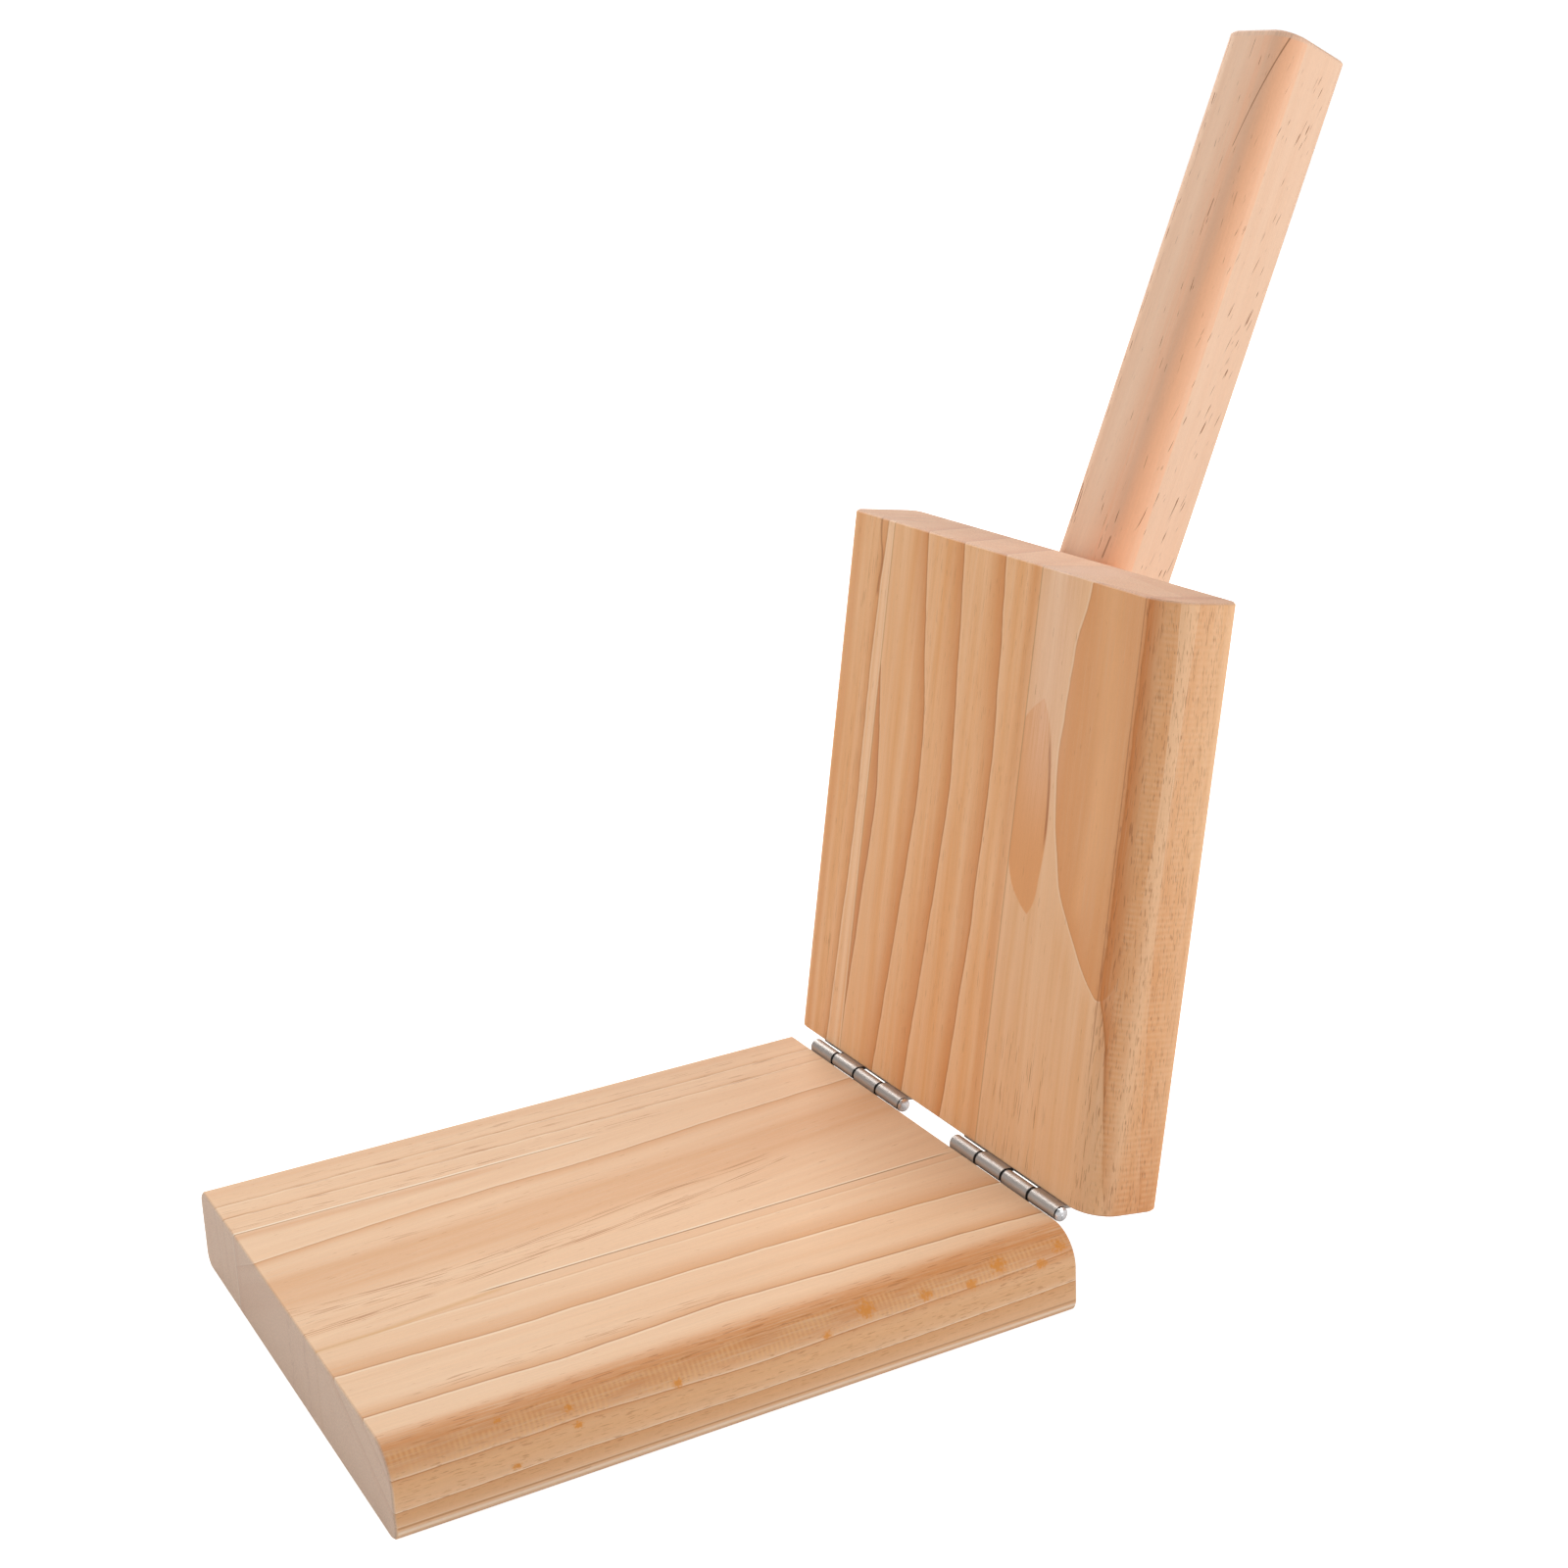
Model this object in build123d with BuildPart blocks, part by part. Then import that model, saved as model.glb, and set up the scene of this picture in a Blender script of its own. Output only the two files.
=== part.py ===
from build123d import *
from math import acos, cos, degrees, radians, sin, tan
import os

# Dumpling wrapper press. Two pine boards, each glued up from three staves, are joined at one end
# by a pair of butt hinges, and a slanting handle on the upper board presses a ball of dough flat
# between them.
# Millimetres. The origin is the middle of the base board's underside. X runs along the hinges,
# the free ends point to -Y, and the press board stands open as it does on the table.

# Boards
board_width = 116.0
base_length = 142.0
base_thickness = 17.5
press_length = 123.0
press_thickness = 17.5
near_edge_radius = 7.5        # the near long edge beside each of the two faces that press
far_edge_radius = 3.0         # the far one
outer_edge_radius = 3.0       # long edges away from those faces
end_arris = 0.4               # sanded bevel round the sawn ends

# Glue lines between the staves
base_far_glue_x = -33.5
base_near_glue_x = 15.0
press_far_glue_x = -39.0
press_near_glue_x = 17.5

# How the boards meet
opening_angle = 99.1          # press board from closed to where it stands
pin_above_base = 0.4          # pin axis over the base board's top
pin_below_press = 1.1         # pin axis under the closed press board's working face

# Butt hinges
far_hinge_x = -28.2
near_hinge_x = 31.2
hinge_length = 38.0
knuckle_count = 4
knuckle_gap = 0.3             # play between neighbouring knuckles
sheet = 0.65                  # steel strip of the leaves
pin_radius = 0.92
pin_play = 0.03               # radial running clearance in the knuckles
curl_seam = 0.2               # slit where a rolled knuckle meets its own leaf
leaf_reach = 11.0             # pin axis to the leaf's free edge
leaf_corner_radius = 1.5
pin_head_radius = 1.5
pin_head_rim = 0.25
pin_head_dome = 0.4
pin_head_gap = 0.15           # under the head, before the last knuckle

# Leaf screws
leaf_screw_count = 2
leaf_screw_pitch = 23.0
leaf_screw_drop = 6.5         # pin axis to the screws' row
leaf_screw_radius = 1.25      # the head's cone is as deep as the leaf
leaf_screw_length = 10.0
leaf_recess_depth = 0.5

# Handle
handle_width = 22.0
handle_depth = 16.0
handle_tilt = 14.3            # to the press board's back
handle_heel = 40.6            # hinge end of the board to where the handle's back would run out
handle_reach = 193.4          # from there to the handle's end, along its back
handle_nose = 3.0             # height left at the foot's thin end
handle_end_slant = 4.0        # the end is sawn a little out of square
handle_under_radius = 5.5
handle_back_radius = 2.0
handle_end_arris = 0.5

# Handle screws, in a row through the foot
handle_screw_count = 2
handle_screw_pitch = 20.0
handle_screw_start = 30.0     # from the heel, along the handle's back
handle_screw_radius = 2.0
handle_screw_head_radius = 3.8
handle_screw_length = 22.0
handle_recess_depth = 1.5

# Screws in general
screw_play = 0.05             # radial, in holes and countersinks
screw_cone_angle = 90.0
screw_point_share = 1.0       # length of the point, in shank radii
pilot_spare = 1.0             # a pilot hole is this much deeper than its screw

# Worked out from the sizes above
bore_radius = pin_radius + pin_play
barrel_radius = bore_radius + sheet
leaf_notch = barrel_radius + knuckle_gap
leaf_screw_head_radius = leaf_screw_radius + sheet * tan(radians(screw_cone_angle / 2))
knuckle_length = (hinge_length - (knuckle_count - 1) * knuckle_gap) / knuckle_count
knuckle_starts = [i * (knuckle_length + knuckle_gap) - hinge_length / 2 for i in range(knuckle_count)]
press_back = pin_below_press + press_thickness
opening = radians(opening_angle)
tilt = radians(handle_tilt)
slant = radians(handle_end_slant)


def carried(frame: Plane, plane: Plane) -> Plane:
    """A plane that is given in a frame, as it stands in the part."""
    return Plane(frame.location * plane.location)


def row(origin: tuple, facing: tuple, along: tuple, pitch: float, count: int) -> list:
    """Planes in a row about an origin, all with the same facing."""
    middle = Plane(origin, x_dir=along, z_dir=facing)
    return [carried(middle, Plane((pitch * (i - (count - 1) / 2), 0, 0))) for i in range(count)]


def board(frame: Plane, length: float, working_height: float, outer_height: float) -> Part:
    """A planed board that runs to -Y of a frame, from a barrel radius behind its pin axis."""
    hinge_end = carried(frame, Plane.XZ.offset(barrel_radius))
    with BuildPart() as blank:
        with BuildSketch(hinge_end) as section:
            with Locations((0, (working_height + outer_height) / 2)):
                Rectangle(board_width, abs(outer_height - working_height))
            upper, lower = section.vertices().group_by(Axis.Y, reverse=True)
            working, outer = (upper, lower) if working_height > outer_height else (lower, upper)
            fillet(outer, outer_edge_radius)
            fillet(working.sort_by(Axis.X)[0], far_edge_radius)
            fillet(working.sort_by(Axis.X)[-1], near_edge_radius)
        extrude(amount=length)
        across_ends = blank.faces().sort_by(Axis(hinge_end.origin, hinge_end.z_dir))
        chamfer(across_ends[0].edges() + across_ends[-1].edges(), end_arris)
    return blank.part


def wood_screw(shank: float, head: float, length: float, recess_depth: float) -> Part:
    """A countersunk screw with a cross recess. Its head is flush with XY and it points to -Z."""
    cone = (head - shank) / tan(radians(screw_cone_angle / 2))
    point = shank * screw_point_share
    with BuildPart() as screw:
        with BuildSketch(Plane.XZ):
            with BuildLine():
                Polyline((0, 0), (head, 0), (shank, -cone), (shank, point - length), (0, -length), close=True)
            make_face()
        revolve(axis=Axis.Z)
        with BuildSketch():
            Rectangle(2 * shank, shank / 2)
            Rectangle(shank / 2, 2 * shank)
        extrude(amount=-recess_depth, mode=Mode.SUBTRACT)
    return screw.part


# A hinge leaf in its own frame: X runs along the pin, the plate hangs to -Z and its outer face
# looks to +Y. Every second knuckle from the far end is rolled from the plate's own strip, up over
# the pin and round until it almost meets the plate again.
leaf_screw_row = row((0, -bore_radius, -leaf_screw_drop), (0, 1, 0), (1, 0, 0), leaf_screw_pitch, leaf_screw_count)

with BuildPart() as hinge_leaf:
    with BuildSketch(Plane.XZ.offset(bore_radius)) as plate:
        with Locations((0, -(leaf_notch + leaf_reach) / 2)):
            Rectangle(hinge_length, leaf_reach - leaf_notch)
        fillet(plate.vertices().group_by(Axis.Y)[0], leaf_corner_radius)
    extrude(amount=sheet)
    curl = 360 - degrees(acos((bore_radius - curl_seam) / barrel_radius))
    for start in knuckle_starts[::2]:
        with BuildSketch(Plane.YZ.offset(start)):
            with BuildLine():
                outside = CenterArc((0, 0), barrel_radius, 180, -curl)
                inside = CenterArc((0, 0), bore_radius, 180, -curl)
                Line(outside @ 1, inside @ 1)
                Polyline(
                    outside @ 0,
                    (-barrel_radius, -leaf_notch - sheet),
                    (-bore_radius, -leaf_notch - sheet),
                    inside @ 0,
                )
            make_face()
        extrude(amount=knuckle_length)
    with Locations(*leaf_screw_row):
        CounterSinkHole(
            leaf_screw_radius + screw_play,
            leaf_screw_head_radius + screw_play,
            counter_sink_angle=screw_cone_angle,
        )

# A hinge pin along X: flush with the knuckle at the far end, with a domed head at the near end
with BuildPart() as hinge_pin:
    tip_x = -hinge_length / 2
    head_x = hinge_length / 2 + pin_head_gap
    crown = (head_x + pin_head_rim + pin_head_dome, 0)
    with BuildSketch():
        with BuildLine():
            side = Polyline(
                (tip_x, 0),
                (tip_x, pin_radius),
                (head_x, pin_radius),
                (head_x, pin_head_radius),
                (head_x + pin_head_rim, pin_head_radius),
            )
            RadiusArc(side @ 1, crown, (pin_head_radius**2 + pin_head_dome**2) / (2 * pin_head_dome))
            Line(crown, side @ 0)
        make_face()
    revolve(axis=Axis.X)

leaf_screw = wood_screw(leaf_screw_radius, leaf_screw_head_radius, leaf_screw_length, leaf_recess_depth)
handle_screw = wood_screw(handle_screw_radius, handle_screw_head_radius, handle_screw_length, handle_recess_depth)

# The two bodies have frames on the pin axis in which the press lies closed, both boards' hinge
# ends are in the plane y = -barrel_radius, and the pin axis runs between the boards.
pin_y = base_length / 2 + barrel_radius
pin_z = base_thickness + pin_above_base
base_frame = Plane((0, pin_y, pin_z))
press_frame = Plane((0, pin_y, pin_z), x_dir=(1, 0, 0), z_dir=(0, sin(opening), cos(opening)))

# The press board's leaves are the same pressing, turned end for end and upside down, so their
# knuckles fall between those of the base board's leaves.
far_base_seat = carried(base_frame, Plane((far_hinge_x, 0, 0)))
near_base_seat = carried(base_frame, Plane((near_hinge_x, 0, 0)))
far_press_seat = carried(press_frame, Plane((far_hinge_x, 0, 0), x_dir=(-1, 0, 0), z_dir=(0, 0, -1)))
near_press_seat = carried(press_frame, Plane((near_hinge_x, 0, 0), x_dir=(-1, 0, 0), z_dir=(0, 0, -1)))
base_screw_places = [carried(seat, place) for seat in (far_base_seat, near_base_seat) for place in leaf_screw_row]
press_screw_places = [carried(seat, place) for seat in (far_press_seat, near_press_seat) for place in leaf_screw_row]

# The handle's frame has X across it, Y out of its back and Z along it to the free end. It starts
# where the handle's back would run into the press board's back.
heel = Plane((0, -barrel_radius - handle_heel, press_back), x_dir=(1, 0, 0), z_dir=(0, -cos(tilt), sin(tilt)))
handle_frame = carried(press_frame, heel)
handle_row_middle = handle_screw_start + handle_screw_pitch * (handle_screw_count - 1) / 2
handle_screw_row = row((0, 0, handle_row_middle), (0, 1, 0), (0, 0, 1), handle_screw_pitch, handle_screw_count)
handle_screw_places = [carried(handle_frame, place) for place in handle_screw_row]

# The base board, drilled and then parted at its glue lines
base_blank = board(base_frame, base_length, -pin_above_base, -pin_above_base - base_thickness)

with BuildPart() as base_board:
    add(base_blank)
    with Locations(*base_screw_places):
        Hole(leaf_screw_radius + screw_play, depth=leaf_screw_length + pilot_spare)

with BuildPart() as base_far_stave:
    add(base_board.part)
    split(bisect_by=Plane.YZ.offset(base_far_glue_x), keep=Keep.BOTTOM)
base_far_stave.part.label = "base_far_stave"

with BuildPart() as base_middle_stave:
    add(base_board.part)
    split(bisect_by=Plane.YZ.offset(base_far_glue_x), keep=Keep.TOP)
    split(bisect_by=Plane.YZ.offset(base_near_glue_x), keep=Keep.BOTTOM)
base_middle_stave.part.label = "base_middle_stave"

with BuildPart() as base_near_stave:
    add(base_board.part)
    split(bisect_by=Plane.YZ.offset(base_near_glue_x), keep=Keep.TOP)
base_near_stave.part.label = "base_near_stave"

# The press board, made the same way
press_blank = board(press_frame, press_length, pin_below_press, press_back)

with BuildPart() as press_board:
    add(press_blank)
    with Locations(*press_screw_places):
        Hole(leaf_screw_radius + screw_play, depth=leaf_screw_length + pilot_spare)
    with Locations(*handle_screw_places):
        Hole(handle_screw_radius + screw_play, depth=handle_screw_length + pilot_spare)

with BuildPart() as press_far_stave:
    add(press_board.part)
    split(bisect_by=Plane.YZ.offset(press_far_glue_x), keep=Keep.BOTTOM)
press_far_stave.part.label = "press_far_stave"

with BuildPart() as press_middle_stave:
    add(press_board.part)
    split(bisect_by=Plane.YZ.offset(press_far_glue_x), keep=Keep.TOP)
    split(bisect_by=Plane.YZ.offset(press_near_glue_x), keep=Keep.BOTTOM)
press_middle_stave.part.label = "press_middle_stave"

with BuildPart() as press_near_stave:
    add(press_board.part)
    split(bisect_by=Plane.YZ.offset(press_near_glue_x), keep=Keep.TOP)
press_near_stave.part.label = "press_near_stave"

# The handle's foot is sawn slanting, so that it lies flat on the press board's back, and its thin
# end is cut square before it feathers out.
with BuildPart() as handle:
    with BuildSketch(handle_frame) as section:
        with Locations((0, -handle_depth / 2)):
            Rectangle(handle_width, handle_depth)
        under_corners, back_corners = section.vertices().group_by(Axis.Y)
        fillet(under_corners, handle_under_radius)
        fillet(back_corners, handle_back_radius)
    extrude(amount=handle_reach + handle_depth)
    end_cut = carried(handle_frame, Plane((0, 0, handle_reach), z_dir=(0, sin(slant), cos(slant))))
    split(bisect_by=end_cut, keep=Keep.BOTTOM)
    sawn_end = handle.faces().sort_by(Axis(handle_frame.origin, handle_frame.z_dir))[-1]
    chamfer(sawn_end.edges(), handle_end_arris)
    split(bisect_by=carried(press_frame, Plane((0, 0, press_back))), keep=Keep.TOP)
    nose_cut = Plane.XZ.offset(barrel_radius + handle_heel + handle_nose / tan(tilt))
    split(bisect_by=carried(press_frame, nose_cut), keep=Keep.TOP)
    with Locations(*handle_screw_places):
        CounterSinkHole(
            handle_screw_radius + screw_play,
            handle_screw_head_radius + screw_play,
            counter_sink_angle=screw_cone_angle,
        )
handle.part.label = "handle"

with BuildPart() as far_hinge_base_leaf:
    with Locations(far_base_seat):
        add(hinge_leaf.part)
far_hinge_base_leaf.part.label = "far_hinge_base_leaf"

with BuildPart() as far_hinge_press_leaf:
    with Locations(far_press_seat):
        add(hinge_leaf.part)
far_hinge_press_leaf.part.label = "far_hinge_press_leaf"

with BuildPart() as far_hinge_pin:
    with Locations(far_base_seat):
        add(hinge_pin.part)
far_hinge_pin.part.label = "far_hinge_pin"

with BuildPart() as near_hinge_base_leaf:
    with Locations(near_base_seat):
        add(hinge_leaf.part)
near_hinge_base_leaf.part.label = "near_hinge_base_leaf"

with BuildPart() as near_hinge_press_leaf:
    with Locations(near_press_seat):
        add(hinge_leaf.part)
near_hinge_press_leaf.part.label = "near_hinge_press_leaf"

with BuildPart() as near_hinge_pin:
    with Locations(near_base_seat):
        add(hinge_pin.part)
near_hinge_pin.part.label = "near_hinge_pin"

with BuildPart() as base_leaf_screws:
    with Locations(*base_screw_places):
        add(leaf_screw)
base_leaf_screws.part.label = "base_leaf_screws"

with BuildPart() as press_leaf_screws:
    with Locations(*press_screw_places):
        add(leaf_screw)
press_leaf_screws.part.label = "press_leaf_screws"

with BuildPart() as handle_screws:
    with Locations(*handle_screw_places):
        add(handle_screw)
handle_screws.part.label = "handle_screws"

os.makedirs("parts", exist_ok=True)
export_step(base_far_stave.part, "parts/base_far_stave.step")
export_step(base_middle_stave.part, "parts/base_middle_stave.step")
export_step(base_near_stave.part, "parts/base_near_stave.step")
export_step(press_far_stave.part, "parts/press_far_stave.step")
export_step(press_middle_stave.part, "parts/press_middle_stave.step")
export_step(press_near_stave.part, "parts/press_near_stave.step")
export_step(handle.part, "parts/handle.step")
export_step(far_hinge_base_leaf.part, "parts/far_hinge_base_leaf.step")
export_step(far_hinge_press_leaf.part, "parts/far_hinge_press_leaf.step")
export_step(far_hinge_pin.part, "parts/far_hinge_pin.step")
export_step(near_hinge_base_leaf.part, "parts/near_hinge_base_leaf.step")
export_step(near_hinge_press_leaf.part, "parts/near_hinge_press_leaf.step")
export_step(near_hinge_pin.part, "parts/near_hinge_pin.step")
export_step(base_leaf_screws.part, "parts/base_leaf_screws.step")
export_step(press_leaf_screws.part, "parts/press_leaf_screws.step")
export_step(handle_screws.part, "parts/handle_screws.step")
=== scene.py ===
"""Looks of the dumpling wrapper press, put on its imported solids.

The four outer staves get their planed rounding here, on copies that stand for the solids, and all
other solids are shown as they are. Each board's timber is drawn in that board's own position, in
millimetres: across the board, along it from the hinge end, and in depth from the face that presses.
A growth line is a sheet through the stave, so the faces and the ends agree.
"""

import logging
import math
from dataclasses import dataclass, field
from enum import Enum
from typing import Protocol

import bmesh
import bpy
from mathutils import Matrix, Vector


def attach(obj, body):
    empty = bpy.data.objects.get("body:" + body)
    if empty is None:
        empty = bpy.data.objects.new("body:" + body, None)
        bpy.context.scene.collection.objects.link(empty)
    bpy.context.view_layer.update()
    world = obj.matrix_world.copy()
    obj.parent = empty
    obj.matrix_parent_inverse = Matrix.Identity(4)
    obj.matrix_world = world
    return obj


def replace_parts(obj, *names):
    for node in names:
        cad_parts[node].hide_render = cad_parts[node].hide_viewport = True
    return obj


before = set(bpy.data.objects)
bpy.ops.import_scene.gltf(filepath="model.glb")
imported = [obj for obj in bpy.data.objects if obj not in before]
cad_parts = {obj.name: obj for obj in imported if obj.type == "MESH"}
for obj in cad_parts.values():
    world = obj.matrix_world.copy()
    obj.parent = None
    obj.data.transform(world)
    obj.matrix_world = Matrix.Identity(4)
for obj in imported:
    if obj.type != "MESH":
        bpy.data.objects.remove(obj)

log = logging.getLogger("wrapper_press")

MM = 0.001
Socket = bpy.types.NodeSocket
Triple = tuple[float, float, float]
Tone = tuple[float, float, float, float]
Path = tuple[tuple[float, float], ...]


def tone(red: int, green: int, blue: int) -> Tone:
    """A linear colour for a shader.

    Args:
        red: red from 0 to 255, as a paint chart gives it.
        green: green in the same way.
        blue: blue in the same way.

    Returns:
        Linear red, green, blue and an alpha of 1.
    """
    linear = []
    for value in (red, green, blue):
        share = value / 255
        linear.append(share / 12.92 if share <= 0.04045 else ((share + 0.055) / 1.055) ** 2.4)
    return (linear[0], linear[1], linear[2], 1.0)


# Near-white paint for the thin painted highlights beside growth lines and glue lines
PAINTED_HIGHLIGHT = tone(255, 238, 214)
# Keeps the noise of two seeds apart
SEED_STEP = 37.0


class Graph:
    """Puts nodes in one tree and links them."""

    def __init__(self, tree: bpy.types.NodeTree) -> None:
        """Works on the given tree."""
        self.tree = tree

    def feed(self, pairs: list[tuple[Socket, object]]) -> None:
        """Links or sets each input socket.

        Args:
            pairs: input sockets, each with the value or socket that feeds it.
        """
        for socket, value in pairs:
            if isinstance(value, Socket):
                self.tree.links.new(value, socket)
            else:
                socket.default_value = value

    def add(self, kind: str, inputs: dict, **settings: object) -> bpy.types.Node:
        """Adds a node.

        Args:
            kind: the node's type.
            inputs: socket names or numbers, with the values or sockets that feed them.
            **settings: the node's own settings.

        Returns:
            The new node.
        """
        node = self.tree.nodes.new(kind)
        for name, value in settings.items():
            setattr(node, name, value)
        self.feed([(node.inputs[name], value) for name, value in inputs.items()])
        return node

    def maths(self, operation: str, *values: object, clamp: bool = False) -> Socket:
        """A Math node's result for the given values."""
        inputs = dict(enumerate(values))
        return self.add("ShaderNodeMath", inputs, operation=operation, use_clamp=clamp).outputs[0]

    def mixed(self, share: object, first: object, second: object, blend: str = "MIX") -> Socket:
        """Mixes two colours.

        Args:
            share: how much of the second colour there is, from 0 to 1.
            first: the colour underneath.
            second: the colour on top.
            blend: how they blend.

        Returns:
            The mix.
        """
        node = self.add("ShaderNodeMix", {}, data_type="RGBA", blend_type=blend)
        self.feed([(node.inputs[0], share), (node.inputs[6], first), (node.inputs[7], second)])
        return node.outputs[2]

    def shaded(self, colour: object, light: Socket) -> Socket:
        """A colour times a lightness."""
        grey = self.add("ShaderNodeCombineColor", {0: light, 1: light, 2: light}).outputs[0]
        return self.mixed(1.0, colour, grey, blend="MULTIPLY")

    def dappled(self, colour: object, noise: Socket, strength: float) -> Socket:
        """A colour whose lightness follows a noise from 0 to 1, about its own."""
        return self.shaded(colour, self.maths("MULTIPLY_ADD", noise, strength, 1.0 - strength / 2))

    def fade(self, value: object, start: object, end: object, smooth: bool = True) -> Socket:
        """0 up to start, 1 from end on, and a change between them.

        Args:
            value: what is looked at.
            start: where the change starts.
            end: where it ends.
            smooth: a smooth change, otherwise a straight one.

        Returns:
            The mask.
        """
        kind = "SMOOTHSTEP" if smooth else "LINEAR"
        inputs = {"Value": value, "From Min": start, "From Max": end}
        return self.add("ShaderNodeMapRange", inputs, interpolation_type=kind, clamp=True).outputs[0]

    def between(self, value: object, start: float, end: float, ramp: float) -> Socket:
        """1 from start to end, fading out over a ramp outside them."""
        first = self.fade(value, start - ramp, start)
        return self.maths("MULTIPLY", first, self.fade(value, end + ramp, end))

    def stretched(self, position: Socket, scale: Triple, shift: object = (0.0, 0.0, 0.0)) -> Socket:
        """A position times a scale along each axis, plus a shift."""
        inputs = {0: position, 1: scale, 2: shift}
        return self.add("ShaderNodeVectorMath", inputs, operation="MULTIPLY_ADD").outputs[0]

    def noise(
        self, position: Socket, detail: float = 2.0, rough: float = 0.5, scale: float = 1.0
    ) -> Socket:
        """Noise from 0 to 1, about 0.5."""
        inputs = {"Vector": position, "Scale": scale, "Detail": detail, "Roughness": rough}
        return self.add("ShaderNodeTexNoise", inputs).outputs[0]

    def joined(self, *values: object) -> Socket:
        """A position from its three values."""
        return self.add("ShaderNodeCombineXYZ", dict(enumerate(values))).outputs[0]

    def apart(self, position: Socket) -> tuple[Socket, Socket, Socket]:
        """The three values of a position."""
        outputs = self.add("ShaderNodeSeparateXYZ", {0: position}).outputs
        return outputs[0], outputs[1], outputs[2]

    def followed(self, along: Socket, path: Path, reach: float) -> Socket:
        """Where a listed line runs.

        Args:
            along: the distance along the board.
            path: distances along the board, each with the line's place across it.
            reach: the board's length.

        Returns:
            The line's place across the board at that distance.
        """
        # The curve's height from 0 to 1 stands for this many millimetres, with 0 in its middle
        span = 320.0
        share = self.maths("DIVIDE", along, reach, clamp=True)
        node = self.add("ShaderNodeFloatCurve", {"Value": share})
        curve = node.mapping.curves[0]
        points = sorted(path)
        curve.points[0].location = (points[0][0] / reach, points[0][1] / span + 0.5)
        curve.points[1].location = (points[-1][0] / reach, points[-1][1] / span + 0.5)
        for distance, across in points[1:-1]:
            curve.points.new(distance / reach, across / span + 0.5)
        node.mapping.update()
        return self.maths("MULTIPLY_ADD", node.outputs[0], span, -span / 2)

    def group(self, tree: bpy.types.NodeTree, inputs: dict) -> dict[str, Socket]:
        """Places a shared group and feeds it.

        Args:
            tree: the shared group.
            inputs: its inputs by name.

        Returns:
            Its outputs by name.
        """
        node = self.tree.nodes.new("ShaderNodeGroup")
        node.node_tree = tree
        self.feed([(node.inputs[name], value) for name, value in inputs.items()])
        return {socket.name: socket for socket in node.outputs}


def emptied(owner: bpy.types.Material | bpy.types.World) -> Graph:
    """An empty graph in a material or a world.

    Args:
        owner: what the graph is for.

    Returns:
        Its graph.
    """
    owner.use_nodes = True
    owner.node_tree.nodes.clear()
    return Graph(owner.node_tree)


def put_up(name: str, data: bpy.types.ID) -> bpy.types.Object:
    """Makes an object and puts it in the scene.

    Args:
        name: the object's name.
        data: its mesh, camera or light.

    Returns:
        The object.
    """
    new_object = bpy.data.objects.new(name, data)
    bpy.context.scene.collection.objects.link(new_object)
    return new_object


class GroupMaker:
    """Starts a shared node group and ends it."""

    def __init__(self, name: str, inputs: dict[str, str], outputs: tuple[str, ...]) -> None:
        """Makes the group's sockets.

        Args:
            name: the group's name.
            inputs: socket names and their kinds.
            outputs: names of the masks and values that it gives.
        """
        self.tree = bpy.data.node_groups.new(name, "ShaderNodeTree")
        for socket, kind in inputs.items():
            self.tree.interface.new_socket(name=socket, in_out="INPUT", socket_type="NodeSocket" + kind)
        for socket in outputs:
            self.tree.interface.new_socket(name=socket, in_out="OUTPUT", socket_type="NodeSocketFloat")
        start = self.tree.nodes.new("NodeGroupInput")
        self.given = {socket.name: socket for socket in start.outputs if socket.name}
        self.graph = Graph(self.tree)

    def end(self, results: dict[str, Socket]) -> bpy.types.NodeTree:
        """Links the results to the group's outputs.

        Args:
            results: the masks and values by name.

        Returns:
            The finished group.
        """
        node = self.tree.nodes.new("NodeGroupOutput")
        for name, value in results.items():
            self.tree.links.new(value, node.inputs[name])
        return self.tree


def growth_line_group() -> bpy.types.NodeTree:
    """Masks about one growth line, all from the distance to it in millimetres.

    Returns:
        The group. Dark is the late wood up to the line, Fresh the pale wood after it, Line the line
        itself and the last output a thin painted highlight along its far edge.
    """
    wander, soft, fall = 0.4, 0.1, 1.5
    line_place, line_slope = 0.12, 3.2
    # Where the thin painted highlight beyond the line lies, and how fast it fades
    highlight_place, highlight_slope = 0.38, 2.8
    kinds = dict.fromkeys(("Off", "Side", "Band", "Fresh Width", "Grain"), "Float")
    maker = GroupMaker("growth_line", kinds, ("Dark", "Fresh", "Line", "Painted Highlight"))
    graph, given = maker.graph, maker.given
    ragged = graph.maths("MULTIPLY_ADD", given["Grain"], wander, -wander / 2)
    short_of = graph.maths("MULTIPLY", given["Side"], -1.0)
    before = graph.maths("MULTIPLY_ADD", given["Off"], short_of, ragged)
    inside = graph.fade(before, -soft, soft)
    share = graph.maths("DIVIDE", before, given["Band"])
    darkening = graph.maths("POWER", graph.maths("SUBTRACT", 1.0, share, clamp=True), fall)
    after = graph.maths("DIVIDE", graph.maths("MULTIPLY", before, -1.0), given["Fresh Width"])
    easing = graph.maths("SUBTRACT", 1.0, after, clamp=True)
    off_line = graph.maths("ABSOLUTE", graph.maths("SUBTRACT", before, line_place))
    off_highlight = graph.maths("ABSOLUTE", graph.maths("ADD", before, highlight_place))
    return maker.end(
        {
            "Dark": graph.maths("MULTIPLY", inside, darkening),
            "Fresh": graph.maths("MULTIPLY", graph.maths("SUBTRACT", 1.0, inside), easing),
            "Line": graph.maths("MULTIPLY_ADD", off_line, -line_slope, 1.0, clamp=True),
            "Painted Highlight": graph.maths("MULTIPLY_ADD", off_highlight, -highlight_slope, 1.0, clamp=True),
        }
    )


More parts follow.
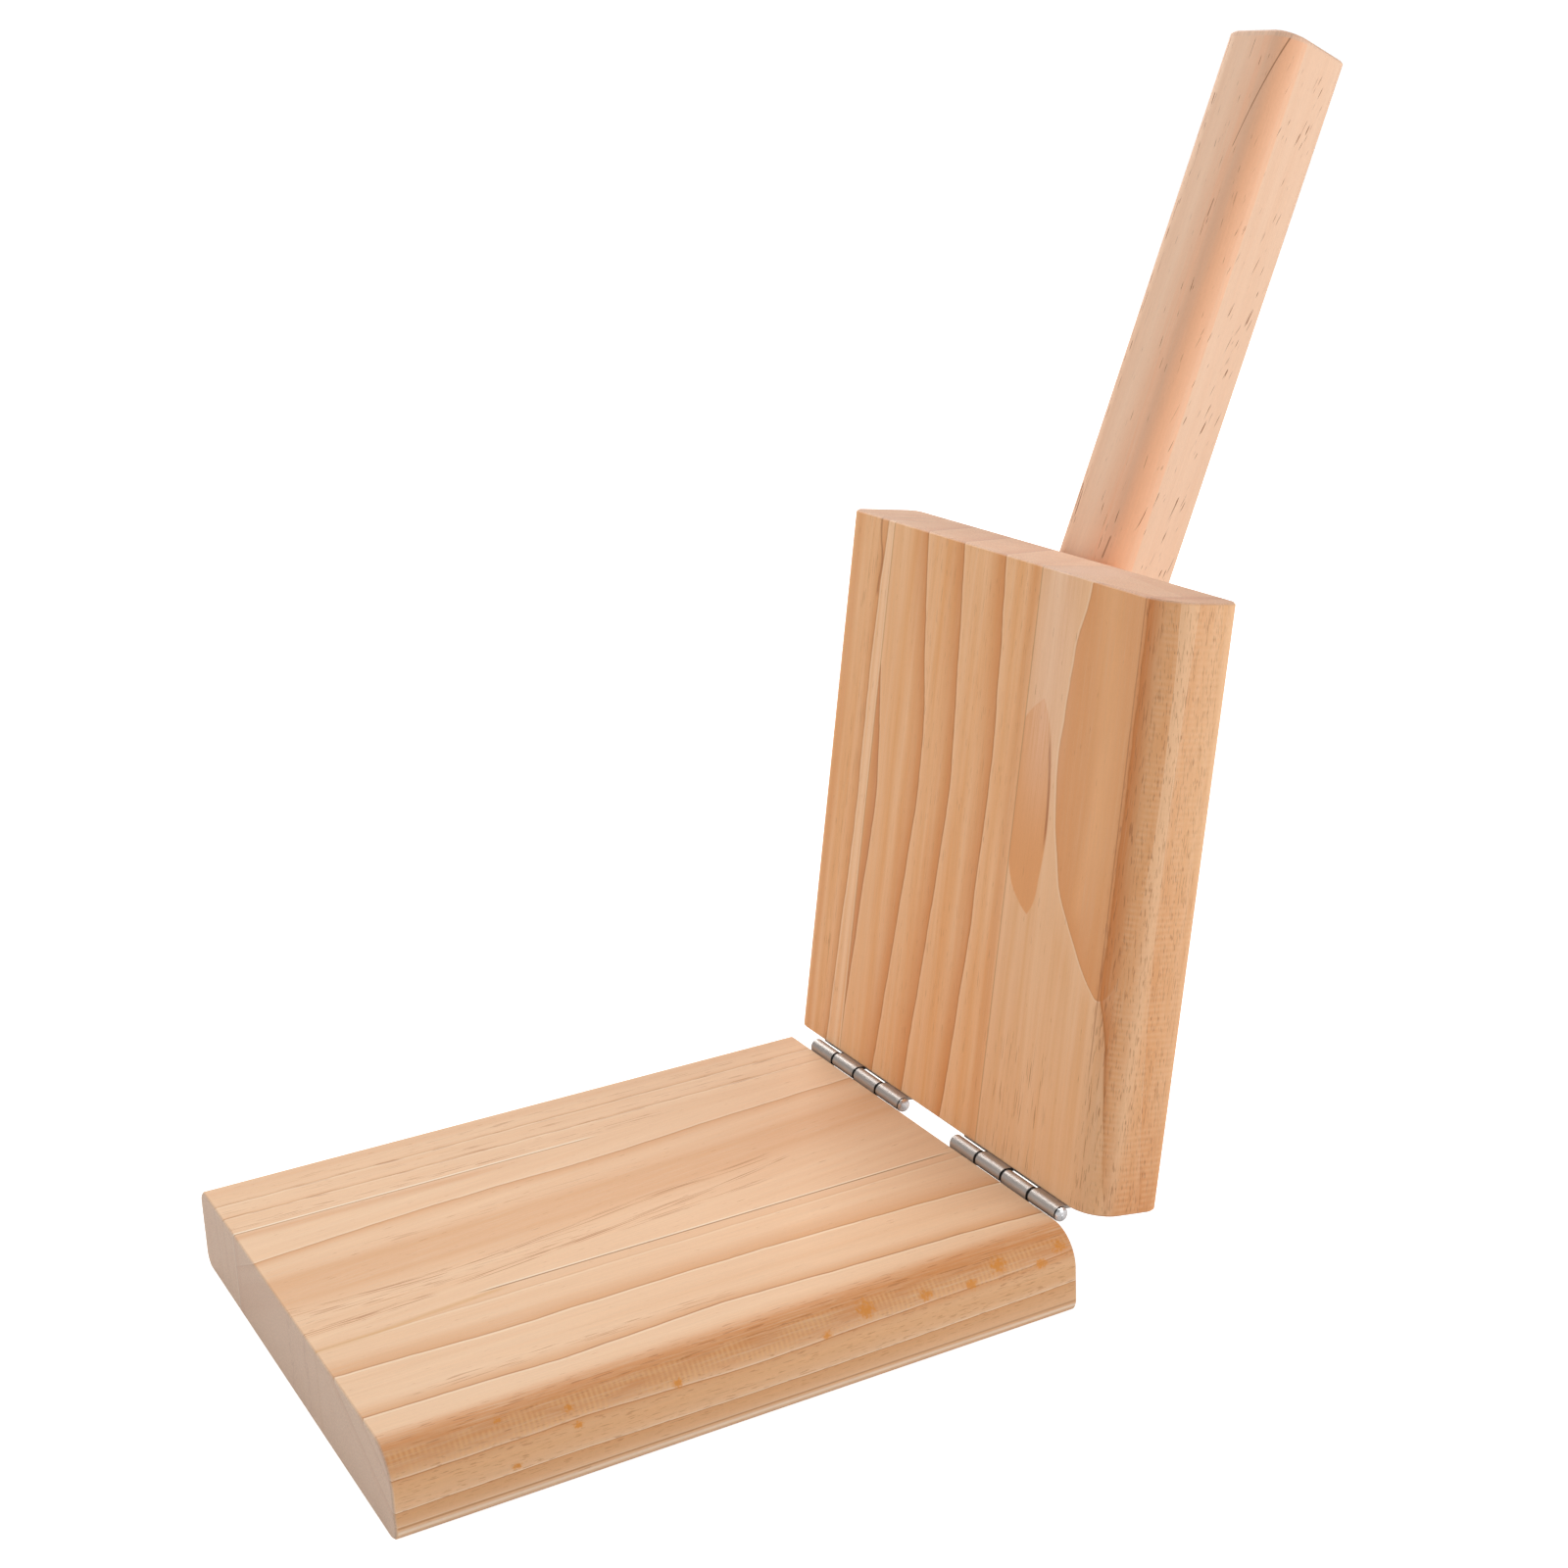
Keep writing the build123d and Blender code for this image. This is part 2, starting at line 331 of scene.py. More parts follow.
def fibre_group() -> bpy.types.NodeTree:
    """Fibres along the second axis of a position in millimetres.

    Returns:
        The group. Fine and Broad are fibres of two widths, Stroke holds short dark strokes and
        Height is the relief.
    """
    fine_scale, broad_scale, stroke_scale = (2.6, 0.06, 2.6), (0.3, 0.011, 0.3), (3.0, 0.24, 3.0)
    rarest, spread, soft, stroke_sink = 0.74, 0.14, 0.07, 0.3
    kinds = {"Position": "Vector", "Seed": "Float", "Slant": "Float", "Stroke Share": "Float"}
    maker = GroupMaker("timber_fibre", kinds, ("Fine", "Broad", "Stroke", "Height"))
    graph, given = maker.graph, maker.given
    across, along, depth = graph.apart(given["Position"])
    level = graph.maths("MULTIPLY_ADD", along, graph.maths("MULTIPLY", given["Slant"], -1.0), across)
    seeded = graph.maths("MULTIPLY_ADD", given["Seed"], SEED_STEP, level)
    laid = graph.joined(seeded, along, depth)
    fine = graph.noise(graph.stretched(laid, fine_scale), detail=4.0, rough=0.7)
    broad = graph.noise(graph.stretched(laid, broad_scale), detail=3.0, rough=0.6)
    grit = graph.noise(graph.stretched(laid, stroke_scale), detail=1.5)
    wanted = graph.maths("MULTIPLY_ADD", given["Stroke Share"], -spread, rarest)
    stroke = graph.fade(grit, wanted, graph.maths("ADD", wanted, soft))
    height = graph.maths("MULTIPLY_ADD", stroke, -stroke_sink, fine)
    return maker.end({"Fine": fine, "Broad": broad, "Stroke": stroke, "Height": height})


def end_grain_group() -> bpy.types.NodeTree:
    """The two sawn ends of a board.

    Returns:
        The group. Ends is their mask, Speckle their open grain.
    """
    outermost, innermost, speckle_scale = 0.05, 0.45, (2.4, 0.0, 2.4)
    maker = GroupMaker("end_grain", {"Position": "Vector", "Length": "Float"}, ("Ends", "Speckle"))
    graph, given = maker.graph, maker.given
    _, along, _ = graph.apart(given["Position"])
    far = graph.maths("SUBTRACT", given["Length"], along)
    ends = graph.fade(graph.maths("MINIMUM", along, far), innermost, outermost)
    speckle = graph.noise(graph.stretched(given["Position"], speckle_scale), detail=4.0, rough=0.75)
    return maker.end({"Ends": ends, "Speckle": speckle})


def soft_band_group() -> bpy.types.NodeTree:
    """A soft band about a line, full in its middle.

    Returns:
        The group, with the mask Band.
    """
    maker = GroupMaker("soft_band", {"Off": "Float", "Half Width": "Float"}, ("Band",))
    away = maker.graph.maths("ABSOLUTE", maker.given["Off"])
    return maker.end({"Band": maker.graph.fade(away, maker.given["Half Width"], 0.0)})


def dash_group() -> bpy.types.NodeTree:
    """Short strokes that run beside a line.

    Returns:
        The group, with the mask Dash.
    """
    apart_across, apart_along, change_with_depth = 2.0, 1.8, 0.6
    rarest, spread, soft = 0.74, 0.24, 0.05
    kinds = dict.fromkeys(("Off", "Along", "Depth", "Seed", "Width", "Length", "Share"), "Float")
    maker = GroupMaker("dashes", kinds, ("Dash",))
    graph, given = maker.graph, maker.given
    level = graph.maths("DIVIDE", given["Off"], graph.maths("MULTIPLY", given["Width"], apart_across))
    level = graph.maths("MULTIPLY_ADD", given["Seed"], SEED_STEP, level)
    run = graph.maths("DIVIDE", given["Along"], graph.maths("MULTIPLY", given["Length"], apart_along))
    depth = graph.maths("MULTIPLY", given["Depth"], change_with_depth)
    grain = graph.noise(graph.joined(level, run, depth), detail=1.0)
    wanted = graph.maths("MULTIPLY_ADD", given["Share"], -spread, rarest)
    return maker.end({"Dash": graph.fade(grain, wanted, graph.maths("ADD", wanted, soft))})


def fleck_group() -> bpy.types.NodeTree:
    """A small blot with a ragged edge.

    Returns:
        The group, with the mask Fleck.
    """
    raggedness, outside, inside = 1.8, 1.9, 1.2
    kinds = {"Position": "Vector", "Centre": "Vector", "Size": "Vector"}
    maker = GroupMaker("fleck", kinds, ("Fleck",))
    graph, given = maker.graph, maker.given
    vector_maths = "ShaderNodeVectorMath"
    off = graph.add(vector_maths, {0: given["Position"], 1: given["Centre"]}, operation="SUBTRACT")
    off = graph.add(vector_maths, {0: off.outputs[0], 1: given["Size"]}, operation="DIVIDE")
    away = graph.add(vector_maths, {0: off.outputs[0]}, operation="LENGTH").outputs["Value"]
    grain = graph.noise(given["Position"], detail=3.0, rough=0.6, scale=1.6)
    ragged = graph.maths("MULTIPLY_ADD", grain, raggedness, away)
    return maker.end({"Fleck": graph.fade(ragged, outside, inside)})


@dataclass(frozen=True)
class Shared:
    """The node groups that the finishes share."""

    growth_line: bpy.types.NodeTree = field(default_factory=growth_line_group)
    fibre: bpy.types.NodeTree = field(default_factory=fibre_group)
    end_grain: bpy.types.NodeTree = field(default_factory=end_grain_group)
    soft_band: bpy.types.NodeTree = field(default_factory=soft_band_group)
    dashes: bpy.types.NodeTree = field(default_factory=dash_group)
    fleck: bpy.types.NodeTree = field(default_factory=fleck_group)


class Lay(Enum):
    """Which side of a growth line its dark late wood lies on."""

    LEFT = 1.0
    RIGHT = -1.0


class Plane(Enum):
    """The plane in which a mark's path is given: its place is across the piece, or in depth."""

    FACE = "across"
    SIDE = "depth"


@dataclass(frozen=True)
class WoodTones:
    """The colours of one wood on its faces and ends."""

    early: Tone
    late: Tone
    fresh: Tone
    stroke: Tone
    end: Tone


@dataclass(frozen=True)
class Placing:
    """How a piece's own position follows from Object coordinates."""

    corner: Triple
    turn: float
    flips: Triple
    length: float

    def placed(self, graph: Graph) -> Socket:
        """The position across, along and into the piece.

        Args:
            graph: the material's graph.

        Returns:
            The position in millimetres.
        """
        here = graph.add("ShaderNodeTexCoord", {}).outputs["Object"]
        inputs = {
            "Vector": here,
            "Location": tuple(value * MM for value in self.corner),
            "Rotation": (self.turn, 0.0, 0.0),
            "Scale": tuple(flip * MM for flip in self.flips),
        }
        return graph.add("ShaderNodeMapping", inputs, vector_type="TEXTURE").outputs[0]

    def own(self, point: Vector) -> Vector:
        """A point's place across, along and into the piece, in millimetres."""
        turned = Matrix.Rotation(-self.turn, 3, "X") @ (point / MM - Vector(self.corner))
        return Vector(part * flip for part, flip in zip(turned, self.flips))

    def outside(self, point: Vector) -> Vector:
        """Where a place across, along and into the piece is in the whole, in metres."""
        flipped = Vector(part * flip for part, flip in zip(point, self.flips))
        return (Matrix.Rotation(self.turn, 3, "X") @ flipped + Vector(self.corner)) * MM


@dataclass(frozen=True)
class Rounding:
    """The planed rounding of one long edge of a board's working face, in millimetres.

    Edge is where the sharp edge would run across the board, arris the bevel round the sawn ends and
    steps the number of planing cuts. Points closer than merge become one. A face is shaded flat when
    the cosine of its lean from one of the board's own directions is at least flat.
    """

    edge: float
    radius: float
    arris: float = 0.4
    steps: int = 16
    merge: float = 0.002
    flat: float = 0.9999
    crease: float = math.radians(20.0)
    same_plane: float = math.radians(0.5)

    def planes(self, length: float) -> list[tuple[Vector, Vector]]:
        """The planes that plane the edge round, and its arris at both ends.

        Args:
            length: the board's length.

        Returns:
            A point and an outward direction for each plane, in the board's own position.
        """
        side = math.copysign(1.0, self.edge)
        centre = Vector((self.edge - side * self.radius, 0.0, self.radius))
        planes = []
        for step in range(self.steps):
            angle = (step + 0.5) / self.steps * math.pi / 2
            outward = Vector((side * math.sin(angle), 0.0, -math.cos(angle)))
            planes.append((centre + self.radius * outward, outward))
            for end, beyond in ((0.0, -1.0), (length, 1.0)):
                point = centre + (self.radius - self.arris) * outward + Vector((0.0, end, 0.0))
                planes.append((point, (outward + Vector((0.0, beyond, 0.0))).normalized()))
        return planes

    def cut(self, node: str, placing: Placing, slot: str) -> bpy.types.Object:
        """Rounds the edge on a copy of a stave, which then stands for the solid.

        Args:
            node: the stave's name in the frame.
            placing: the board's own position.
            slot: not used.

        Returns:
            The rounded stave.
        """
        shape = bmesh.new()
        shape.from_mesh(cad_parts[node].data)
        bmesh.ops.remove_doubles(shape, verts=shape.verts, dist=self.merge * MM)
        bmesh.ops.dissolve_limit(shape, angle_limit=self.same_plane, verts=shape.verts, edges=shape.edges)
        origin = placing.outside(Vector())
        for point, outward in self.planes(placing.length):
            result = bmesh.ops.bisect_plane(
                shape,
                geom=shape.verts[:] + shape.edges[:] + shape.faces[:],
                dist=self.merge / 2 * MM,
                plane_co=placing.outside(point),
                plane_no=(placing.outside(outward) - origin).normalized(),
                clear_outer=True,
            )
            rim = [item for item in result["geom_cut"] if isinstance(item, bmesh.types.BMEdge)]
            bmesh.ops.contextual_create(shape, geom=rim)
        bmesh.ops.recalc_face_normals(shape, faces=shape.faces)
        for face in shape.faces:
            direction = placing.own(origin + face.normal * MM)
            face.smooth = max(abs(part) for part in direction) < self.flat
        mesh = bpy.data.meshes.new(node + "_rounded")
        shape.to_mesh(mesh)
        shape.free()
        mesh.set_sharp_from_angle(angle=self.crease)
        stave = put_up(node + "_rounded", mesh)
        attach(stave, "base" if node.startswith("base") else "press")
        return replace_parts(stave, node)


class Canvas:
    """The colour and relief of one wooden piece while its marks are painted, in millimetres."""

    def __init__(self, graph: Graph, shared: Shared, wood: "Wood") -> None:
        """Lays the plain timber.

        Args:
            graph: the material's graph.
            shared: the shared node groups.
            wood: the piece that is painted.
        """
        drift_scale, wander = (0.03, 0.12, 0.03), 0.7
        all_early, all_fresh = 0.32, 0.68
        self.graph, self.shared, self.wood = graph, shared, wood
        self.position = wood.placing.placed(graph)
        self.across, self.along, self.depth = graph.apart(self.position)
        place = graph.stretched(self.position, drift_scale, (wood.seed, 0.0, 0.0))
        self.drift = graph.maths("MULTIPLY_ADD", graph.noise(place), wander, -wander / 2)
        inputs = {
            "Position": self.position,
            "Seed": wood.seed,
            "Slant": wood.slant,
            "Stroke Share": wood.strokes,
        }
        self.fibre = graph.group(shared.fibre, inputs)
        blend = graph.fade(self.fibre["Broad"], all_early, all_fresh, smooth=False)
        self.colour = graph.mixed(blend, wood.tones.early, wood.tones.fresh)
        self.height = self.fibre["Height"]

    def off(self, path: Path, lean: float = 0.0, plane: Plane = Plane.FACE) -> Socket:
        """How far a point lies beyond a path.

        Args:
            path: the path on the working face, or in depth on a side.
            lean: how far across the path moves for each millimetre of depth.
            plane: where the path is given.

        Returns:
            The distance, positive to the right or deeper.
        """
        centre = self.graph.followed(self.along, path, self.wood.placing.length)
        if plane is Plane.SIDE:
            return self.graph.maths("SUBTRACT", self.depth, centre)
        centre = self.graph.maths("MULTIPLY_ADD", self.depth, lean, centre)
        return self.graph.maths("SUBTRACT", self.across, centre)

    def fibrous(self, bare: float, full: float) -> Socket:
        """The fine fibres' mask, from nothing where they are at bare to 1 where they are at full."""
        return self.graph.fade(self.fibre["Fine"], bare, full)

    def times(self, *masks: object) -> object:
        """Multiplies masks and strengths.

        Args:
            *masks: the masks, as sockets or plain numbers.

        Returns:
            Their product.
        """
        product = masks[0]
        for mask in masks[1:]:
            product = self.graph.maths("MULTIPLY", product, mask)
        return product

    def lay(self, mask: object, colour: Tone) -> None:
        """Covers the mask with a colour."""
        self.colour = self.graph.mixed(mask, self.colour, colour)

    def sink(self, mask: Socket, amount: float) -> None:
        """Lowers the relief at the mask."""
        self.height = self.graph.maths("MULTIPLY_ADD", mask, -amount, self.height)


class Mark(Protocol):
    """Something painted on a canvas."""

    def paint(self, canvas: Canvas) -> None:
        """Paints the mark."""


@dataclass(frozen=True)
class GrowthLine:
    """One growth line, given point by point, in millimetres.

    Its path holds distances from the hinge end, each with the line's place across the board. Lean is
    how far across it moves for each millimetre of depth. Band and fresh are the widths of the dark
    wood before it and of the pale wood after it. Dark, pale and thin are the strengths of these two
    and of the line itself, and the last strength is that of a thin painted highlight along its far
    edge. Late is its own dark tone, if it has one.
    """

    path: Path
    lean: float
    band: float
    fresh: float = 3.0
    dark: float = 0.8
    pale: float = 0.5
    thin: float = 0.4
    painted_highlight: float = 0.3
    lay: Lay = Lay.LEFT
    late: Tone | None = None

    def paint(self, canvas: Canvas) -> None:
        """Darkens the wood up to the line, freshens it beyond and paints a highlight past it.

        Args:
            canvas: the piece's colour and relief so far.
        """
        graph, tones = canvas.graph, canvas.wood.tones
        inputs = {
            "Off": graph.maths("SUBTRACT", canvas.off(self.path, self.lean), canvas.drift),
            "Side": self.lay.value,
            "Band": self.band,
            "Fresh Width": self.fresh,
            "Grain": canvas.fibre["Fine"],
        }
        masks = graph.group(canvas.shared.growth_line, inputs)
        fibrous = canvas.fibrous(bare=0.1, full=0.55)
        canvas.lay(canvas.times(masks["Dark"], fibrous, self.dark), self.late or tones.late)
        canvas.lay(canvas.times(masks["Fresh"], self.pale), tones.fresh)
        canvas.lay(canvas.times(masks["Line"], self.thin), tones.stroke)
        # A thin painted highlight along the line's far edge
        canvas.lay(canvas.times(masks["Painted Highlight"], self.painted_highlight), PAINTED_HIGHLIGHT)


@dataclass(frozen=True)
class Band:
    """A soft band of another tone along a path, in millimetres.

    Lean is how far across it moves for each millimetre of depth. It shows between the distances of
    its reach, with a ramp outside them, and between the depths of its layer. Fibrous breaks it up
    into fibres, and sunk lowers the relief.
    """

    path: Path
    half_width: float
    strength: float
    colour: Tone
    lean: float = 0.0
    reach: tuple[float, float] | None = None
    ramp: float = 6.0
    plane: Plane = Plane.FACE
    fibrous: bool = True
    sunk: float = 0.0
    layer: tuple[float, float] | None = None

    def paint(self, canvas: Canvas) -> None:
        """Lays the band's tone.

        Args:
            canvas: the piece's colour and relief so far.
        """
        graph = canvas.graph
        inputs = {"Off": canvas.off(self.path, self.lean, self.plane), "Half Width": self.half_width}
        mask = canvas.times(graph.group(canvas.shared.soft_band, inputs)["Band"], self.strength)
        if self.fibrous:
            mask = canvas.times(mask, canvas.fibrous(bare=0.15, full=0.6))
        if self.reach:
            mask = canvas.times(mask, graph.between(canvas.along, *self.reach, self.ramp))
        if self.layer:
            mask = canvas.times(mask, graph.between(canvas.depth, *self.layer, ramp=0.4))
        if self.plane is Plane.SIDE:
            mask = canvas.times(mask, canvas.wood.near_side(canvas))
        canvas.lay(mask, self.colour)
        if self.sunk:
            canvas.sink(mask, self.sunk)


@dataclass(frozen=True)
class Dashes:
    """Short dark strokes beside a path, in millimetres.

    Share is how many there are, width and length are one stroke's, and slant is how far across it
    moves for each millimetre along. They show between the distances of their reach, with a ramp
    outside them, and sunk lowers the relief.
    """

    path: Path
    half_width: float
    share: float
    reach: tuple[float, float] | None = None
    width: float = 0.16
    length: float = 5.0
    slant: float = 0.0
    strength: float = 0.6
    seed: float = 0.0
    plane: Plane = Plane.FACE
    ramp: float = 4.0
    sunk: float = 0.2

    def paint(self, canvas: Canvas) -> None:
        """Strokes the wood beside the path.

        Args:
            canvas: the piece's colour and relief so far.
        """
        graph = canvas.graph
        off = canvas.off(self.path, plane=self.plane)
        inputs = {
            "Off": graph.maths("MULTIPLY_ADD", canvas.along, self.slant, off) if self.slant else off,
            "Along": canvas.along,
            "Depth": canvas.across if self.plane is Plane.SIDE else canvas.depth,
            "Seed": canvas.wood.seed + self.seed,
            "Width": self.width,
            "Length": self.length,
            "Share": self.share,
        }
        mask = graph.group(canvas.shared.dashes, inputs)["Dash"]
        band = graph.group(canvas.shared.soft_band, {"Off": off, "Half Width": self.half_width})["Band"]
        mask = canvas.times(mask, graph.fade(band, start=0.0, end=0.5), self.strength)
        if self.reach:
            mask = canvas.times(mask, graph.between(canvas.along, *self.reach, self.ramp))
        if self.plane is Plane.SIDE:
            mask = canvas.times(mask, canvas.wood.near_side(canvas))
        canvas.lay(mask, canvas.wood.tones.stroke)
        canvas.sink(mask, self.sunk)


@dataclass(frozen=True)
class Island:
    """A shallow patch of another tone between a left and a right path, in millimetres.

    It goes down to the depth deep. Soft is its edge's blur and ragged the waver of its left edge.
    Its tone is laid on from thinnest to that plus patches, and never more than wholly.
    """

    left: Path
    right: Path
    colour: Tone
    deep: float = 1.4
    soft: float = 0.25
    ragged: float = 0.9
    thinnest: float = 0.8
    patches: float = 0.3

    def paint(self, canvas: Canvas) -> None:
        """Fills the wood between the paths, near the working face.

        Args:
            canvas: the piece's colour and relief so far.
        """
        graph = canvas.graph
        start, end = self.left[0][0], self.left[-1][0]
        ragged = graph.maths("MULTIPLY_ADD", canvas.fibre["Fine"], self.ragged, -self.ragged / 2)
        after = graph.fade(graph.maths("ADD", canvas.off(self.left), ragged), -self.soft, self.soft)
        before = graph.fade(canvas.off(self.right), self.soft, -self.soft)
        shallow = graph.fade(canvas.depth, self.deep + 0.4, self.deep)
        reach = graph.between(canvas.along, start, end, ramp=0.3)
        broad = canvas.fibre["Broad"]
        patchy = graph.maths("MULTIPLY_ADD", broad, self.patches, self.thinnest, clamp=True)
        canvas.lay(canvas.times(after, before, shallow, reach, patchy), self.colour)


@dataclass(frozen=True)
class Flecks:
    """Golden resin flecks on the near side, each with its distance, depth and size in millimetres.

    Reach is how far they go into the wood, and stretch how much longer than high they are.
    """

    places: tuple[Triple, ...]
    colour: Tone
    strength: float
    reach: float = 6.0
    stretch: float = 1.5

    def paint(self, canvas: Canvas) -> None:
        """Puts the flecks on the side.

        Args:
            canvas: the piece's colour and relief so far.
        """
        for along, depth, size in self.places:
            inputs = {
                "Position": canvas.position,
                "Centre": (canvas.wood.half_width, along, depth),
                "Size": (self.reach, size * self.stretch, size),
            }
            mask = canvas.graph.group(canvas.shared.fleck, inputs)["Fleck"]
            canvas.lay(canvas.times(mask, self.strength), self.colour)


@dataclass(frozen=True)
class Chatter:
    """The planer's faint cross marks on the near side, in millimetres.

    Top and bottom are the depths between which they show, and waver bends them with the timber.
    """

    colour: Tone
    pitch: float = 1.05
    top: float = 0.8
    bottom: float = 4.2
    strength: float = 0.55
    waver: float = 1.2
    sunk: float = 0.5

    def paint(self, canvas: Canvas) -> None:
        """Ripples the strip between the two depths.

        Args:
            canvas: the piece's colour and relief so far.
        """
        patch_scale, bare, full = (0.0, 0.11, 0.45), 0.36, 0.58
        graph = canvas.graph
        phase = graph.maths("MULTIPLY_ADD", canvas.drift, self.waver, canvas.along)
        wave = graph.maths("SINE", graph.maths("MULTIPLY", phase, math.tau / self.pitch))
        patches = graph.noise(graph.stretched(canvas.position, patch_scale))
        strip = graph.between(canvas.depth, self.top, self.bottom, ramp=0.8)
        mask = canvas.times(strip, graph.fade(patches, bare, full), canvas.wood.near_side(canvas))
        ridge = canvas.times(mask, graph.maths("MULTIPLY_ADD", wave, 0.5, 0.5))
        canvas.lay(canvas.times(ridge, self.strength), self.colour)
        canvas.sink(ridge, self.sunk)


@dataclass(frozen=True)
class Planing:
    """How planed and sanded wood takes the light, with its relief in millimetres."""

    rough: float = 0.54
    rough_spread: float = 0.12
    gloss: float = 0.3
    grit_scale: Triple = (2.6, 1.1, 2.6)
    grit_relief: float = 0.8
    relief: float = 0.35
    relief_depth: float = 0.08


@dataclass
class Wood:
    """One wooden piece and its marks, in millimetres.

    Strokes, streak, grit, sawn and speckle say how much there is of short dark strokes, light and
    dark fibres, fine grit, the ends' own tone and their open grain.
    """

    node: str
    placing: Placing
    tones: WoodTones
    seed: float
    marks: tuple[Mark, ...] = ()
    slant: float = 0.0
    strokes: float = 0.3
    half_width: float = 58.0
    streak: float = 0.22
    grit: float = 0.1
    sawn: float = 0.7
    rounding: Rounding | None = None
    slot: str = "base_pine"
    speckle: float = 0.8
    stroke_strength: float = 0.5
    planing: Planing = Planing()

    def near_side(self, canvas: Canvas) -> Socket:
        """The side that faces +X, with its rounded edges and without the sawn ends.

        Args:
            canvas: the piece's colour and relief so far.

        Returns:
            The mask.
        """
        start, full, off_end = self.half_width - 3.8, self.half_width - 2.6, 0.6
        length = canvas.graph.between(canvas.along, off_end, self.placing.length - off_end, ramp=0.3)
        return canvas.times(canvas.graph.fade(canvas.across, start, full), length)

    def dress(self, shared: Shared) -> bpy.types.Object:
        """Makes the piece's material and puts it on its solid.

        Args:
            shared: the shared node groups.

        Returns:
            The dressed node.
        """
        planing = self.planing
        material = bpy.data.materials.new(self.node + "_timber")
        graph = emptied(material)
        canvas = Canvas(graph, shared, self)
        for mark in self.marks:
            mark.paint(canvas)
        fine = canvas.fibre["Fine"]
        canvas.lay(canvas.times(canvas.fibre["Stroke"], self.stroke_strength), self.tones.stroke)
        sanding = graph.stretched(canvas.position, planing.grit_scale)
        grit = graph.noise(sanding, detail=3.0, rough=0.7)
        colour = graph.dappled(graph.dappled(canvas.colour, fine, self.streak), grit, self.grit)
        ends = graph.group(shared.end_grain, {"Position": canvas.position, "Length": self.placing.length})
        cut = graph.mixed(self.sawn, colour, self.tones.end)
        cut = graph.dappled(cut, ends["Speckle"], self.speckle)
        relief = {
            "Height": graph.maths("MULTIPLY_ADD", grit, planing.grit_relief, canvas.height),
            "Strength": planing.relief,
            "Distance": planing.relief_depth * MM,
        }
        inputs = {
            "Base Color": graph.mixed(ends["Ends"], colour, cut),
            "Roughness": graph.maths("MULTIPLY_ADD", fine, planing.rough_spread, planing.rough),
            "Normal": graph.add("ShaderNodeBump", relief).outputs[0],
        }
        shader = graph.add("ShaderNodeBsdfPrincipled", inputs)
        shader.inputs["Specular IOR Level"].default_value = planing.gloss
        graph.add("ShaderNodeOutputMaterial", {"Surface": shader.outputs[0]})
        if self.rounding:
            return wear(self.rounding.cut(self.node, self.placing, self.slot), material)
        return wear(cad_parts[self.node], material)


def wear(piece: bpy.types.Object, material: bpy.types.Material) -> bpy.types.Object:
    """Gives a piece one material.

    Args:
        piece: a solid of the frame, or the copy that stands for it.
        material: its new material.

    Returns:
        The piece.
    """
    piece.data.materials.clear()
    piece.data.materials.append(material)
    log.info("%s wears %s", piece.name, material.name)
    return piece


# How far the press board stands open, how far the handle leans from it, and the hinge pins' axis
OPENING = math.radians(99.1)
HANDLE_TILT = math.radians(14.3)
PIN = Vector((0.0, 72.6, 17.9))
# Where the press board's own Y and Z point while it stands open
PRESS_Y = Vector((0.0, math.cos(OPENING), -math.sin(OPENING)))
PRESS_Z = Vector((0.0, math.sin(OPENING), math.cos(OPENING)))

ORANGE = tone(226, 156, 100)
GLUE = tone(150, 102, 62)


def seam(
    x: float, reach: tuple[float, float], dark: float, bright: float, side: float
) -> tuple[Band, Band]:
    """A glue line: a thin dark line, with a thin painted highlight beside it.

    Args:
        x: where the staves meet.
        reach: from where to where it shows.
        dark: the dark line's strength.
        bright: the painted highlight's strength.
        side: -1 for the painted highlight on the left, 1 on the right.

    Returns:
        The two bands.
    """
    past_end, dark_half, bright_half, apart = 150, 0.35, 0.38, 0.45
    edge = x + apart * side
    return (
        Band(((0, x), (past_end, x)), dark_half, dark, GLUE, reach=reach, fibrous=False),
        # The painted highlight beside the glue line
        Band(((0, edge), (past_end, edge)), bright_half, bright, PAINTED_HIGHLIGHT, reach=reach, fibrous=False),
    )


@dataclass
class GluedBoard:
    """A board glued up from three staves, with two planed roundings beside its working face."""

    length: float
    half_width: float = 58.0
    near_radius: float = 7.5
    far_radius: float = 3.0

    def run(self, start: float, end: float) -> Path:
        """A straight path over the whole board, between its places at the two ends."""
        return ((0.0, start), (self.length, end))

    def far_rounding(self) -> Rounding:
        """The small rounding of the far edge."""
        return Rounding(-self.half_width, self.far_radius)

    def near_rounding(self) -> Rounding:
        """The large rounding of the near edge."""
        return Rounding(self.half_width, self.near_radius)

    def staves(self) -> tuple[Wood, ...]:
        """The staves from the far edge to the near one, which each board gives itself."""
        raise NotImplementedError

    def dress(self, shared: Shared) -> None:
        """Dresses the staves."""
        for stave in self.staves():
            stave.dress(shared)


